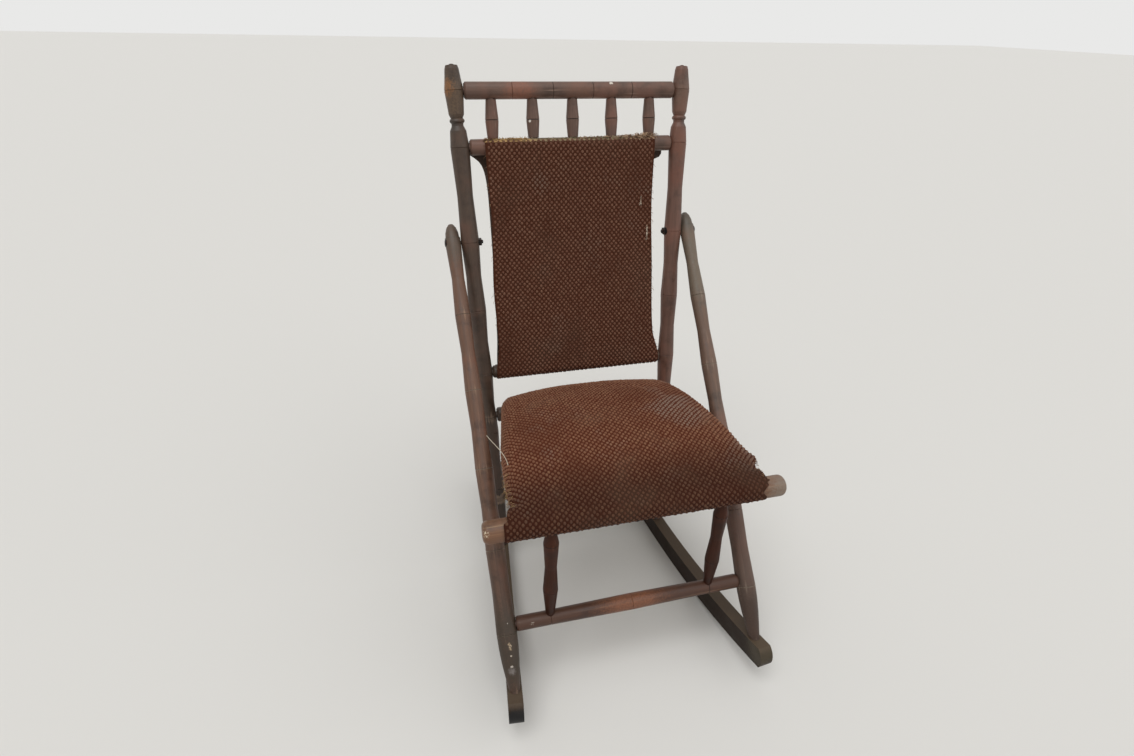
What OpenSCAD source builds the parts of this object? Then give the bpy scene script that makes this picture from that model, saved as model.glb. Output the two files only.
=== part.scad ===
// Old rocking chair on two curved runners, with ring-turned members and a carpet seat and back.
// X runs across the chair, Y from the front to the back and Z up, in millimetres.
// The origin is on the floor, under the middle of the runners.

/* [Frame] */
// Height of the finial tops above the floor
total_h = 940; // [880:5:1000]
// Height of the front seat rail's axis above the floor
seat_front_h = 361; // [350:1:375]
// Height of the rear seat rail's axis above the floor
seat_rear_h = 326; // [316:1:336]
// Level distance between the axes of the two seat rails
seat_depth = 357; // [340:1:370]
// Lean of the back posts from upright, in degrees
post_lean = 11; // [9:0.1:13]
// Drop of the arm bolts below the finial tops
bolt_drop = 283; // [265:1:300]
// Drop of the upper back rail's axis below the finial tops
upper_rail_drop = 127; // [118:1:140]
// Rise of the lower back rail's axis above the rear seat rail's
lower_rail_rise = 88; // [78:1:104]
// Height of the front stretcher's axis above the floor
front_stretcher_h = 150; // [135:1:165]
// Height of the rear stretcher's axis above the floor
rear_stretcher_h = 148; // [120:1:200]

/* [Spread] */
// Half the spacing of the arm axes at the runners
arm_low_half = 213.5; // [208:0.1:218]
// Half the spacing of the post axes at the floor
post_low_half = 173.5; // [168:0.1:180]
// Half the spacing of the post axes at the finial tops
post_top_half = 203.5; // [198:0.1:208]
// Half the length of the front seat rail
front_rail_half = 244; // [238:0.5:250]
// Distance of each small front spindle from the middle
front_spindle_half = 141; // [120:1:160]
// Distance of each hidden side seat rail from the middle, at the front
side_rail_front_half = 176; // [165:1:182]
// Distance of each hidden side seat rail from the middle, at the rear
side_rail_rear_half = 132; // [125:1:142]

/* [Runners] */
// Length of each runner from toe to heel
runner_len = 656; // [600:1:700]
// Height of the runner's section
runner_h = 38; // [34:0.5:44]
// Thickness of the runner
runner_t = 24; // [22:0.5:28]
// Radius of the runner's rounded ends, seen from the side
toe_r = 27; // [24:0.5:40]
// Radius of the curve that the chair rocks on
runner_r = 1400; // [1100:10:1500]
// Place of the curve's lowest point, behind the middle of the runner
runner_low_y = 21; // [0:0.5:40]
// Level distance from the toe to the front seat rail's axis
front_setback = 104; // [90:1:120]
// Level distance from the toe to the foot of the arm
arm_setback = 42; // [34:1:52]

/* [Turnings] */
// Radius of the back posts at their ridges
post_r = 16.2; // [15:0.1:19]
// Radius of the back posts between ridges
post_waist_r = 13.7; // [12.5:0.1:16]
// Spacing of the ridges along the back posts
post_ridge_pitch = 121.5; // [112:0.5:130]
// Radius of the arms at the bolts
arm_r = 13.6; // [12.5:0.1:15]
// Radius of the arms at their thickest, where the front stretcher joins them
arm_low_r = 16.8; // [15.5:0.1:18]
// Radius of the arms at the foot
arm_foot_r = 8.8; // [8:0.1:10]
// Spacing of the ridges along the arms
arm_ridge_pitch = 134; // [128:0.5:138]
// Radius of the front seat rail
front_rail_r = 17.4; // [16.5:0.1:19.5]
// Radius of the rear seat rail
rear_rail_r = 14.2; // [13:0.1:15.5]
// Radius of the hidden side seat rails
side_rail_r = 12.5; // [11:0.1:13.5]
// Radius of the top rail
top_rail_r = 13.8; // [12.8:0.1:16.5]
// Radius of the upper back rail
upper_rail_r = 13.2; // [12.5:0.1:15]
// Radius of the lower back rail
lower_rail_r = 12; // [11:0.1:13]
// Radius of the front stretcher at its middle
stretcher_r = 13.6; // [12.5:0.1:14.5]
// Radius of the rear stretcher at its middle
rear_stretcher_r = 12; // [11:0.1:13]
// Radius of the five back spindles at their ridge
back_spindle_r = 11.4; // [10:0.1:12.5]
// Radius of the two front spindles at their ridges
front_spindle_r = 12.2; // [11:0.1:13.5]
// Spacing of the five back spindles
back_spindle_pitch = 71; // [66:0.5:74]
// Width of a scored line
score_w = 1.6; // [1:0.1:2.4]
// Depth of a scored line
score_d = 0.8; // [0.4:0.1:1.2]

/* [Joinery] */
// Radius of the small tenons
tenon_r = 6.5; // [5.5:0.1:7]
// Radius of the arm and post tenons in the runners
foot_tenon_r = 7.5; // [6.5:0.1:8]
// Depth of the arm and post tenons in the runners
foot_tenon_l = 24; // [18:0.5:27]
// Distance that a tenon's end stays short of the middle of what holds it
tenon_stop = 5.5; // [5:0.1:8]
// Clearance round a tenon, and between wood and carpet
fit = 0.2; // [0.1:0.05:0.3]
// Gap that a shoulder or a tenon's end is left with
seat_gap = 0.3; // [0.2:0.05:0.5]

/* [Arm hardware] */
// Radius of the bolt's shank
bolt_r = 3.2; // [3:0.1:4]
// Radius of the bolt's domed head
bolt_head_r = 8.4; // [7:0.1:9.5]
// Height of the bolt's domed head
bolt_head_h = 3.6; // [3:0.1:4.5]
// Depth of the flats that the head and washer bed on
flat_depth = 2.2; // [1.6:0.1:3]
// Outer radius of the washer
washer_r = 7.6; // [6.8:0.1:9]
// Thickness of the washer
washer_t = 1.4; // [1:0.1:2]
// Width of the square nut across its flats
nut_w = 10.6; // [9.5:0.1:12]
// Thickness of the nut
nut_t = 5; // [4:0.1:6]
// Length of bolt past the nut
bolt_end = 2.6; // [1:0.1:4]

/* [Upholstery] */
// Thickness of the carpet
carpet_t = 3.2; // [2.6:0.1:5]
// Half the width of the seat at the front
seat_front_half = 206; // [198:0.5:210]
// Half the width of the seat at the rear
seat_rear_half = 160; // [152:0.5:163]
// Bulge of the seat's sides past straight lines from front to rear
side_bulge = 13; // [6:0.5:16]
// Height of the seat's crown above the flat line over the rails
crown_h = 65; // [50:0.5:70]
// Radius that the seat's sides roll over at
side_roll_r = 24; // [18:0.5:28]
// Thickness of the webbing
web_t = 1.8; // [1.2:0.1:2.4]
// Width of a strip of webbing
web_w = 52; // [44:1:58]
// Half the width of the back carpet at its top
back_top_half = 157; // [150:0.5:162]
// Half the width of the back carpet at its foot
back_foot_half = 157; // [150:0.5:160]
// Width that the back carpet lacks at its upper right corner
back_trim = 9; // [0:0.5:12]
// Depth that the back carpet has sagged to the rear
back_sag = 11; // [4:0.5:16]

/* [Hidden] */
// Facets round a turned piece
round_fn = 48;
// Overrun of a cut past what it cuts
over = 2;
// Heights of the bolts and of the two rails that hold the back carpet
bolt_h = total_h - bolt_drop;
upper_rail_h = total_h - upper_rail_drop;
lower_rail_h = seat_rear_h + lower_rail_rise;
// Level places of the two seat rails
front_y = -runner_len / 2 + front_setback;
rear_y = front_y + seat_depth;
// Chamfer at the end of a rail
chamfer = 2.6;
// Width of a spindle's shoulder round its tenon
shoulder_w = 1.2;
neck_r = tenon_r + shoulder_w;

// Colours of aged wood, iron and carpet
post_colour = [0.36, 0.27, 0.23];
arm_colour = [0.48, 0.37, 0.30];
rail_colour = [0.55, 0.42, 0.32];
iron_colour = [0.25, 0.23, 0.22];
carpet_colour = [0.42, 0.20, 0.13];
linen_colour = [0.70, 0.62, 0.48];

// Places on the right side of the chair, which the left side mirrors
function mix(a, b, t) = a + (b - a) * t;
function post_x(z) = mix(post_low_half, post_top_half, z / total_h);
function post_y(z) = rear_y + (z - seat_rear_h) * tan(post_lean);
function post_at(z) = [post_x(z), post_y(z), z];

// Height of the runner's top face at a level place y
function runner_top(y) = runner_r - sqrt(pow(runner_r - runner_h, 2) - pow(y - runner_low_y, 2));

// Feet of the post and arm, where their axes reach the runner's top face
post_foot = post_at(runner_top(post_y(runner_h)));
post_head = post_at(total_h);
arm_foot_y = -runner_len / 2 + arm_setback;
arm_foot = [arm_low_half, arm_foot_y, runner_top(arm_foot_y)];

// The arm slopes from the runner's toe up to the bolt beside the post
arm_bolt_at = [post_x(bolt_h) + post_r + arm_r + seat_gap, post_y(bolt_h), bolt_h];
arm_len = norm(arm_bolt_at - arm_foot);
function arm_at(z) = mix(arm_foot, arm_bolt_at, (z - arm_foot.z) / (arm_bolt_at.z - arm_foot.z));

// Placing and turning
module along(a, b) {
    d = b - a;
    translate(a) rotate([0, acos(d.z / norm(d)), atan2(d.y, d.x)]) children();
}

module both_sides() {
    children();
    mirror([1, 0, 0]) children();
}

module left_side() mirror([1, 0, 0]) children();

// Turned solid from an outline of [radius, place along the axis] points
module turned(outline) rotate_extrude($fn = round_fn) polygon(outline);

// A scored line at a ridge of radius r
function score(r, s) = [[r, s - score_w / 2], [r - score_d, s], [r, s + score_w / 2]];

// Cones that rise to a scored ridge at each place in ridges, and fall to a waist between them
function ridged(ridges, ridge_r, waist_r) = [
    for (i = [0 : len(ridges) - 1])
        each concat(
            i > 0 ? [[waist_r, mix(ridges[i - 1], ridges[i], 0.5)]] : [],
            score(ridge_r, ridges[i]))
];

// Tenon, body and tenon in one outline
function spun(tail, start, end, tip, peg_r, body) = concat(
    [[0, tail], [peg_r, tail], [peg_r, start]], body, [[peg_r, end], [peg_r, tip], [0, tip]]);

// Socket for a tenon whose end lies at distance s from a, on the line to b
module socket(a, b, s, depth, r = tenon_r) {
    along(a, b) translate([0, 0, s - seat_gap]) cylinder(r = r + fit, h = depth + over, $fn = round_fn);
}

// Runners: an arc of rectangular section with rounded ends, in line with arm and post
runner_mid_r = runner_r - runner_h / 2;
runner_turn = atan2(arm_foot.x - post_foot.x, post_foot.y - arm_foot.y);
runner_mid_x = post_foot.x + post_foot.y * tan(runner_turn);
toe_angle = asin((-runner_len / 2 + toe_r - runner_low_y) / runner_mid_r);
heel_angle = asin((runner_len / 2 - toe_r - runner_low_y) / runner_mid_r);

function runner_point(r, angle) = [runner_low_y + r * sin(angle), runner_r - r * cos(angle)];

module runner_side_view(grow) {
    wedge_r = runner_r * 2;
    intersection() {
        translate([runner_low_y, runner_r]) difference() {
            circle(r = runner_r, $fn = round_fn * 4);
            circle(r = runner_r - runner_h - grow, $fn = round_fn * 4);
        }
        union() {
            polygon([
                [runner_low_y, runner_r], runner_point(wedge_r, toe_angle), runner_point(wedge_r, heel_angle)
            ]);
            for (angle = [toe_angle, heel_angle])
                translate(runner_point(runner_mid_r, angle)) circle(r = toe_r, $fn = round_fn);
        }
    }
}

// The runner before its sockets, or wider and taller by the given amounts to cope a foot to it
module runner_blank(wider = 0, taller = 0) {
    translate([runner_mid_x, 0, 0]) rotate([0, 0, runner_turn]) rotate([90, 0, 90])
        translate([0, 0, -runner_t / 2 - wider]) linear_extrude(runner_t + 2 * wider) runner_side_view(taller);
}

module runner() {
    color(post_colour) difference() {
        runner_blank();
        socket(post_foot, post_head, -foot_tenon_l, foot_tenon_l * 2, foot_tenon_r);
        socket(arm_foot, arm_bolt_at, -foot_tenon_l, foot_tenon_l * 2, foot_tenon_r);
    }
}

module right_rocker() runner();
module left_rocker() left_side() runner();

// Back posts: a foot let into the runner, ridges where the rails enter, and a turned finial
post_len = norm(post_head - post_foot);
post_dir = (post_head - post_foot) / post_len;
post_foot_r = post_waist_r - chamfer;
ridge_spaces = max(1, round((bolt_h - lower_rail_h) / post_ridge_pitch));
ridge_space = (bolt_h - lower_rail_h) / ridge_spaces;
ridges_below = floor((lower_rail_h - post_foot.z) / ridge_space - 1);
post_ridge_hs = concat(
    [for (k = [-ridges_below : ridge_spaces]) lower_rail_h + k * ridge_space],
    [upper_rail_h]);
function post_s(z) = (z - post_foot.z) / post_dir.z;

// Finial, measured up the post from its shoulder
finial_l = 100;
finial_r = 15.8;
finial_foot_r = 12.8;
finial_head_r = 10;
cove_r = 10;
bead_r = 12.8;
button_r = 3.8;
button_h = 2.6;
shoulder_s = post_len - finial_l;
finial_ridge_share = 0.595;
top_rail_h = total_h - finial_l * (1 - finial_ridge_share) * post_dir.z;

function bead(r, low_r, s, half) = [
    for (a = [-60 : 30 : 60]) [mix(low_r, r, cos(a * 1.5)), s + half * a / 60]
];

function finial_outline() = let(s = shoulder_s, l = finial_l) concat(
    [[post_waist_r, s - chamfer], [post_waist_r - chamfer / 2, s], [cove_r, s + 0.05 * l]],
    bead(bead_r, cove_r, s + 0.128 * l, 0.042 * l),
    [[finial_foot_r - chamfer / 2, s + 0.2 * l], [finial_foot_r, s + 0.23 * l]],
    score(finial_r, s + finial_ridge_share * l),
    [[finial_r - 1.6 * chamfer, s + 0.92 * l], [finial_head_r, s + l - button_h]],
    [[button_r, s + l - button_h], [button_r, s + l - button_h / 3], [0, s + l]]);

function post_outline() = concat(
    [[0, -post_r], [post_foot_r, -post_r]],
    ridged([for (h = post_ridge_hs) post_s(h)], post_r, post_waist_r),
    finial_outline());

module into_post(z, hold_r = post_r) {
    socket(post_at(z), post_at(z) - [hold_r, 0, 0], tenon_stop, hold_r);
}

module post() {
    color(post_colour) {
        difference() {
            along(post_foot, post_head) turned(post_outline());
            runner_blank(runner_t, fit);
            for (z = [rear_stretcher_h, seat_rear_h, lower_rail_h, upper_rail_h, top_rail_h]) into_post(z);
            arm_bolt_bore();
            on_bolt(washer_at - bed_gap) cylinder(r = washer_r + fit, h = post_r, $fn = round_fn);
        }
        along(post_foot, post_head) translate([0, 0, -foot_tenon_l + seat_gap])
            cylinder(r = foot_tenon_r, h = foot_tenon_l + chamfer, $fn = round_fn);
    }
}

module right_back_post() post();
module left_back_post() left_side() post();

// Arms: long sloping members from the runners' toes, past the seat, to the bolts beside the posts
arm_past = 36;
arm_knob_r = 12.4;
arm_waist_d = 2.7;
arm_ridges = floor((arm_len - 2 * arm_low_r) / arm_ridge_pitch);

// Radii along the arm: thicker from ridge to ridge towards the floor
function arm_ridge_s(k) = arm_len - k * arm_ridge_pitch;
function arm_ridge_r(k) = mix(arm_r, arm_low_r, pow(k / arm_ridges, 1.4));
function arm_waist_r(k) = arm_ridge_r(k + 0.5) - mix(arm_waist_d, chamfer / 2, k / arm_ridges);

function arm_outline() = let(low_s = arm_ridge_s(arm_ridges)) concat(
    [[0, -foot_tenon_l + seat_gap], [foot_tenon_r, -foot_tenon_l + seat_gap], [foot_tenon_r, -arm_foot_r]],
    [[arm_foot_r, -arm_foot_r], [arm_foot_r, 0]],
    [for (t = [0.25 : 0.25 : 0.75]) [mix(arm_foot_r, arm_low_r, sin(90 * t)), t * low_s]],
    [for (k = [arm_ridges : -1 : 1]) each concat(
        score(arm_ridge_r(k), arm_ridge_s(k)),
        [[arm_waist_r(k - 1), arm_ridge_s(k - 0.5)]])],
    [[arm_r, arm_len - bolt_head_r], [arm_r, arm_len + bolt_head_r]],
    [for (a = [0 : 22.5 : 90])
        [arm_knob_r * cos(a), arm_len + bolt_head_r + (arm_past - bolt_head_r) * sin(a)]]);

module arm() {
    color(arm_colour) {
        difference() {
            along(arm_foot, arm_bolt_at) turned(arm_outline());
            runner_blank(runner_t, fit);
            arm_bolt_bore();
            on_bolt(head_at + bed_gap) mirror([0, 0, 1])
                cylinder(r = bolt_head_r + fit, h = arm_r, $fn = round_fn);
            socket(arm_at(front_stretcher_h), arm_at(front_stretcher_h) - [arm_low_r, 0, 0],
                tenon_stop, arm_low_r);
        }
        along(arm_foot, arm_bolt_at) translate([0, 0, -foot_tenon_l + seat_gap])
            cylinder(r = foot_tenon_r, h = foot_tenon_l + arm_foot_r, $fn = round_fn);
    }
}

module right_arm() arm();
module left_arm() left_side() arm();

// Arm bolt: its places are measured from the arm's axis towards the middle of the chair
bed_gap = 0.05;
head_at = -(arm_r - flat_depth) - bed_gap;
washer_at = arm_bolt_at.x - post_x(bolt_h) + post_r - flat_depth + bed_gap;
nut_at = washer_at + washer_t + bed_gap;

module on_bolt(s) {
    translate(arm_bolt_at - [s, 0, 0]) rotate([0, -90, 0]) children();
}

module arm_bolt_bore() {
    on_bolt(-arm_r - over) cylinder(r = bolt_r + fit, h = 2 * (arm_r + post_r + over), $fn = round_fn);
}

function dome(r, h) = [for (a = [0 : 15 : 90]) [r * cos(a), -h * sin(a)]];

module arm_bolt() {
    color(iron_colour) on_bolt(head_at) {
        rotate_extrude($fn = round_fn) polygon(concat([[0, 0]], dome(bolt_head_r, bolt_head_h)));
        cylinder(r = bolt_r, h = nut_at + nut_t + bolt_end - head_at, $fn = round_fn);
    }
}

module arm_washer() {
    color(iron_colour) on_bolt(washer_at) difference() {
        cylinder(r = washer_r, h = washer_t, $fn = round_fn);
        translate([0, 0, -over]) cylinder(r = bolt_r + fit, h = washer_t + 2 * over, $fn = round_fn);
    }
}

module arm_nut() {
    color(iron_colour) on_bolt(nut_at) difference() {
        translate([-nut_w / 2, -nut_w / 2, 0]) cube([nut_w, nut_w, nut_t]);
        translate([0, 0, -over]) cylinder(r = bolt_r + fit, h = nut_t + 2 * over, $fn = round_fn);
    }
}

module right_arm_bolt() arm_bolt();
module left_arm_bolt() left_side() arm_bolt();
module right_arm_washer() arm_washer();
module left_arm_washer() left_side() arm_washer();
module right_arm_nut() arm_nut();
module left_arm_nut() left_side() arm_nut();

// Rails that run across the chair: outlines along X, about the middle
module across(y, z) {
    translate([0, y, z]) rotate([0, 90, 0]) children();
}

// Rail whose tenons enter members with axes at plus and minus reach, of radius hold_r
function rail_outline(reach, hold_r, r, scores = []) = let(end = reach - hold_r - seat_gap)
    spun(tenon_stop - reach, -end, end, reach - tenon_stop, tenon_r, concat(
        [[r - chamfer, -end], [r, chamfer - end]],
        [for (x = scores) each score(r, x)],
        [[r, end - chamfer], [r - chamfer, end]]));

// Front seat rail with rounded ends that stand out past the seat
rail_end_round = 8;

function rail_end(side) = [
    for (a = side > 0 ? [0 : 18 : 90] : [90 : -18 : 0])
        [front_rail_r - rail_end_round * (1 - cos(a)),
         side * (front_rail_half - rail_end_round * (1 - sin(a)))]
];

module front_seat_rail() {
    color(rail_colour) difference() {
        across(front_y, seat_front_h)
            turned(concat([[0, -front_rail_half]], rail_end(-1), rail_end(1), [[0, front_rail_half]]));
        both_sides() {
            socket(spindle_head, spindle_foot, tenon_stop, front_rail_r);
            socket(side_rail_front, side_rail_rear, tenon_stop, front_rail_r);
        }
    }
}

module rear_seat_rail() {
    color(rail_colour) difference() {
        across(rear_y, seat_rear_h) turned(rail_outline(post_x(seat_rear_h), post_r, rear_rail_r));
        both_sides() socket(side_rail_rear, side_rail_front, tenon_stop, rear_rail_r);
    }
}

// Seat frame: its own level runs over the tops of both rails
rail_step = front_rail_r - rear_rail_r;
rail_span = norm([seat_depth, seat_front_h - seat_rear_h]);
seat_len = sqrt(pow(rail_span, 2) - pow(rail_step, 2));
seat_tilt = atan2(seat_front_h - seat_rear_h, seat_depth) + asin(rail_step / rail_span);

module on_seat() {
    translate([0, front_y, seat_front_h]) rotate([-seat_tilt, 0, 0]) children();
}

function seat_point(x, s, h) = [
    x,
    front_y + s * cos(seat_tilt) + h * sin(seat_tilt),
    seat_front_h - s * sin(seat_tilt) + h * cos(seat_tilt)
];

// Hidden side rails, whose tops are level with the first layer of webbing
side_rail_rise = front_rail_r + web_t - side_rail_r;
side_rail_front = seat_point(side_rail_front_half, 0, side_rail_rise);
side_rail_rear = seat_point(side_rail_rear_half, seat_len, side_rail_rise);
side_rail_len = norm(side_rail_rear - side_rail_front);

module side_seat_rail() {
    start = front_rail_r + chamfer;
    end = side_rail_len - rear_rail_r - chamfer;
    color(rail_colour) along(side_rail_front, side_rail_rear)
        turned(spun(tenon_stop, start, end, side_rail_len - tenon_stop, tenon_r,
            [[side_rail_r, start], [side_rail_r, end]]));
}

module right_seat_rail() side_seat_rail();
module left_seat_rail() left_side() side_seat_rail();

// Stretchers
stretcher_y = arm_at(front_stretcher_h).y;
spindle_foot = [front_spindle_half, stretcher_y, front_stretcher_h];
spindle_head = [front_spindle_half, front_y, seat_front_h];

module front_stretcher() {
    reach = arm_at(front_stretcher_h).x;
    end = reach - arm_low_r - seat_gap;
    end_r = stretcher_r - 0.6 * chamfer;
    color(post_colour) difference() {
        across(stretcher_y, front_stretcher_h)
            turned(spun(tenon_stop - reach, -end, end, reach - tenon_stop, tenon_r, concat(
                [[end_r - chamfer / 2, -end], [end_r, chamfer - end]],
                score(end_r, -front_spindle_half),
                score(stretcher_r, 0),
                score(end_r, front_spindle_half),
                [[end_r, end - chamfer], [end_r - chamfer / 2, end]])));
        both_sides() socket(spindle_foot, spindle_head, tenon_stop, stretcher_r);
    }
}

module rear_stretcher() {
    color(post_colour) across(post_y(rear_stretcher_h), rear_stretcher_h)
        turned(rail_outline(post_x(rear_stretcher_h), post_r, rear_stretcher_r, [0]));
}

// Front spindles with two ridges
front_spindle_len = norm(spindle_head - spindle_foot);
front_spindle_ridge_shares = [0.32, 0.8];

module front_spindle() {
    start = stretcher_r + seat_gap;
    end = front_spindle_len - front_rail_r - seat_gap;
    color(post_colour) along(spindle_foot, spindle_head)
        turned(spun(tenon_stop, start, end, front_spindle_len - tenon_stop, tenon_r, concat(
            [[neck_r, start]],
            ridged([for (share = front_spindle_ridge_shares) share * front_spindle_len],
                front_spindle_r, front_spindle_r - chamfer),
            [[neck_r, end]])));
}

module right_front_spindle() front_spindle();
module left_front_spindle() left_side() front_spindle();

// Back rails and the five short spindles between the upper two
function spindle_x(i) = (i - 2) * back_spindle_pitch;
function spindle_low(i) = [spindle_x(i), post_y(upper_rail_h), upper_rail_h];
function spindle_high(i) = [spindle_x(i), post_y(top_rail_h), top_rail_h];
back_spindle_len = norm(spindle_high(0) - spindle_low(0));

module top_rail() {
    score_xs = [for (i = [0 : 3]) (i - 1.5) * back_spindle_pitch];
    color(post_colour) difference() {
        across(post_y(top_rail_h), top_rail_h)
            turned(rail_outline(post_x(top_rail_h), finial_r, top_rail_r, score_xs));
        for (i = [0 : 4]) socket(spindle_high(i), spindle_low(i), tenon_stop, top_rail_r);
    }
}

module upper_back_rail() {
    color(post_colour) difference() {
        across(post_y(upper_rail_h), upper_rail_h)
            turned(rail_outline(post_x(upper_rail_h), post_r, upper_rail_r));
        for (i = [0 : 4]) socket(spindle_low(i), spindle_high(i), tenon_stop, upper_rail_r);
    }
}

module lower_back_rail() {
    color(post_colour) across(post_y(lower_rail_h), lower_rail_h)
        turned(rail_outline(post_x(lower_rail_h), post_r, lower_rail_r));
}

module back_spindle(i) {
    start = upper_rail_r + seat_gap;
    end = back_spindle_len - top_rail_r - seat_gap;
    color(post_colour) along(spindle_low(i), spindle_high(i))
        turned(spun(tenon_stop, start, end, back_spindle_len - tenon_stop, tenon_r, concat(
            [[neck_r + 0.6 * chamfer, start]],
            score(back_spindle_r, mix(start, end, 0.48)),
            [[neck_r + 0.4 * chamfer, end]])));
}

module back_spindle_1() back_spindle(0);
module back_spindle_2() back_spindle(1);
module back_spindle_3() back_spindle(2);
module back_spindle_4() back_spindle(3);
module back_spindle_5() back_spindle(4);

// Webbing: three strips from rail to rail, and three across on top of them
web_pitch = 88;

module seat_webbing() {
    color(linen_colour) on_seat() {
        for (i = [-1 : 1])
            translate([i * web_pitch - web_w / 2, 0, front_rail_r]) cube([web_w, seat_len, web_t]);
        for (share = [0.25, 0.5, 0.75]) {
            half = mix(side_rail_front_half, side_rail_rear_half, share) + side_rail_r / 2;
            translate([-half, share * seat_len - web_w / 2, front_rail_r + web_t])
                cube([2 * half, web_w, web_t]);
        }
    }
}

// Closed solid between two grids of points with the same rows and columns
module between_grids(upper, lower) {
    rows = len(upper);
    cols = len(upper[0]);
    function at(i, j, layer = 0) = layer * rows * cols + i * cols + j;
    rim = concat(
        [for (j = [0 : cols - 2]) [at(0, j), at(0, j + 1)]],
        [for (i = [0 : rows - 2]) [at(i, cols - 1), at(i + 1, cols - 1)]],
        [for (j = [cols - 1 : -1 : 1]) [at(rows - 1, j), at(rows - 1, j - 1)]],
        [for (i = [rows - 1 : -1 : 1]) [at(i, 0), at(i - 1, 0)]]);
    n = rows * cols;
    polyhedron(
        points = concat([for (row = upper) each row], [for (row = lower) each row]),
        faces = concat(
            [for (i = [0 : rows - 2], j = [0 : cols - 2]) each [
                [at(i, j), at(i + 1, j), at(i + 1, j + 1)],
                [at(i, j), at(i + 1, j + 1), at(i, j + 1)]]],
            [for (i = [0 : rows - 2], j = [0 : cols - 2]) each [
                [at(i, j, 1), at(i + 1, j + 1, 1), at(i + 1, j, 1)],
                [at(i, j, 1), at(i, j + 1, 1), at(i + 1, j + 1, 1)]]],
            [for (e = rim) each [[e[0], e[1], e[1] + n], [e[0], e[1] + n, e[0] + n]]]));
}

// Seat carpet, in the seat's own level: x across, s to the rear, h up from the front rail's axis
front_wrap_r = front_rail_r + web_t + fit + carpet_t;
rear_wrap_r = rear_rail_r + web_t + fit + carpet_t;
front_wrap = 136;
rear_wrap = 130;
front_rise = 27;
rear_rise = 74;
rear_crown_share = 1.46;
flat_share = 0.8;
roll_share = 0.93;
bulge_power = 0.65;
front_hold_share = 0.05;
front_fade_share = 0.1;
rear_hold_share = 0.03;
rear_fade_share = 0.13;

// Share of the crown left at a place u across the seat, from -1 to 1
function crown_share(u) = 1 - 0.4 * pow(abs(u), 3);

// Curve over the stuffing, steep at the rear, whose slopes leave the rails square to their radii
function seat_bezier(u, t) =
    let(rise = front_rise * crown_share(u),
        fall = rear_rise * crown_share(u),
        lift = crown_h * crown_share(u) / 0.75,
        a = front_wrap_r * [-sin(rise), cos(rise)],
        d = [seat_len, rail_step] + rear_wrap_r * [sin(fall), cos(fall)],
        b = a + lift * (2 - rear_crown_share) * [1 / tan(rise), 1],
        c = d + lift * rear_crown_share * [-1 / tan(fall), 1],
        k = 1 - t)
    [k * k * k * a + 3 * k * k * t * b + 3 * k * t * t * c + t * t * t * d,
     3 * k * k * (b - a) + 6 * k * t * (c - b) + 3 * t * t * (d - c)];

// Point of the section at v, 0 to 1 over the front rail, 1 to 2 over the stuffing, 2 to 3 over the rear rail
function seat_section(u, v, depth) =
    let(rise = front_rise * crown_share(u), fall = rear_rise * crown_share(u))
    v < 1 ? let(a = -mix(front_wrap, rise, v)) (front_wrap_r - web_t * (1 - v) - depth) * [sin(a), cos(a)] :
    v > 2 ? let(a = mix(fall, rear_wrap, v - 2))
        [seat_len, rail_step] + (rear_wrap_r - web_t * (v - 2) - depth) * [sin(a), cos(a)] :
    let(curve = seat_bezier(u, v - 1), along_it = curve[1] / norm(curve[1]))
        curve[0] - depth * [-along_it[1], along_it[0]];

// How far the sides roll down at v: not at all round and just past the rails
function side_fade(v) =
    let(front = (v - 1 - front_hold_share) / front_fade_share,
        rear = (2 - v - rear_hold_share) / rear_fade_share,
        e = max(min(front, rear, 1), 0))
    e * e * (3 - 2 * e);

function seat_half(v) = let(t = min(max(v - 1, 0), 1))
    mix(seat_front_half, seat_rear_half, t) + side_bulge * sin(180 * pow(t, bulge_power));

// Level, above the front rail's axis, that the carpet's sides reach down to
skirt_h = side_rail_rise;

function seat_skin(u, v, depth) =
    let(side = u < 0 ? -1 : 1,
        w = abs(u),
        fade = side_fade(v),
        half = seat_half(v),
        bend_r = side_roll_r - depth,
        roll = 90 * min(max((w - flat_share) / (roll_share - flat_share), 0), 1),
        skirt = max((w - roll_share) / (1 - roll_share), 0),
        rolled_x = half - side_roll_r + bend_r * sin(roll),
        edge_x = w < flat_share
            ? w / flat_share * mix(half * flat_share, half - side_roll_r, fade)
            : mix(half * w, rolled_x, fade),
        p = seat_section(u, v, depth),
        drop = bend_r * (1 - cos(roll)) + skirt * max(p[1] - bend_r - skirt_h, 0))
    [side * edge_x, p[0], p[1] - fade * drop];

skin_us = concat(
    [for (i = [0 : 3]) -mix(1, flat_share, i / 4)],
    [for (i = [0 : 10]) mix(-flat_share, flat_share, i / 10)],
    [for (i = [1 : 4]) mix(flat_share, 1, i / 4)]);
skin_vs = concat(
    [for (i = [0 : 7]) i / 8],
    [for (i = [0 : 16]) 1 + i / 16],
    [for (i = [1 : 5]) 2 + i / 5]);

module seat_carpet() {
    color(carpet_colour) on_seat() between_grids(
        [for (v = skin_vs) [for (u = skin_us) seat_skin(u, v, 0)]],
        [for (v = skin_vs) [for (u = skin_us) seat_skin(u, v, carpet_t)]]);
}

// Stuffing between the webbing and the carpet
stuffing_us = [for (u = skin_us) if (abs(u) <= flat_share + 0.01) u];
stuffing_vs = [for (v = skin_vs) if (v > 1.1 && v < 1.9) v];
stuffing_base = front_rail_r + 2 * web_t;

module seat_stuffing() {
    top = [for (v = stuffing_vs) [for (u = stuffing_us) seat_skin(u, v, carpet_t + fit)]];
    color(linen_colour) on_seat()
        between_grids(top, [for (row = top) [for (p = row) [p.x, p.y, stuffing_base]]]);
}

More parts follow.
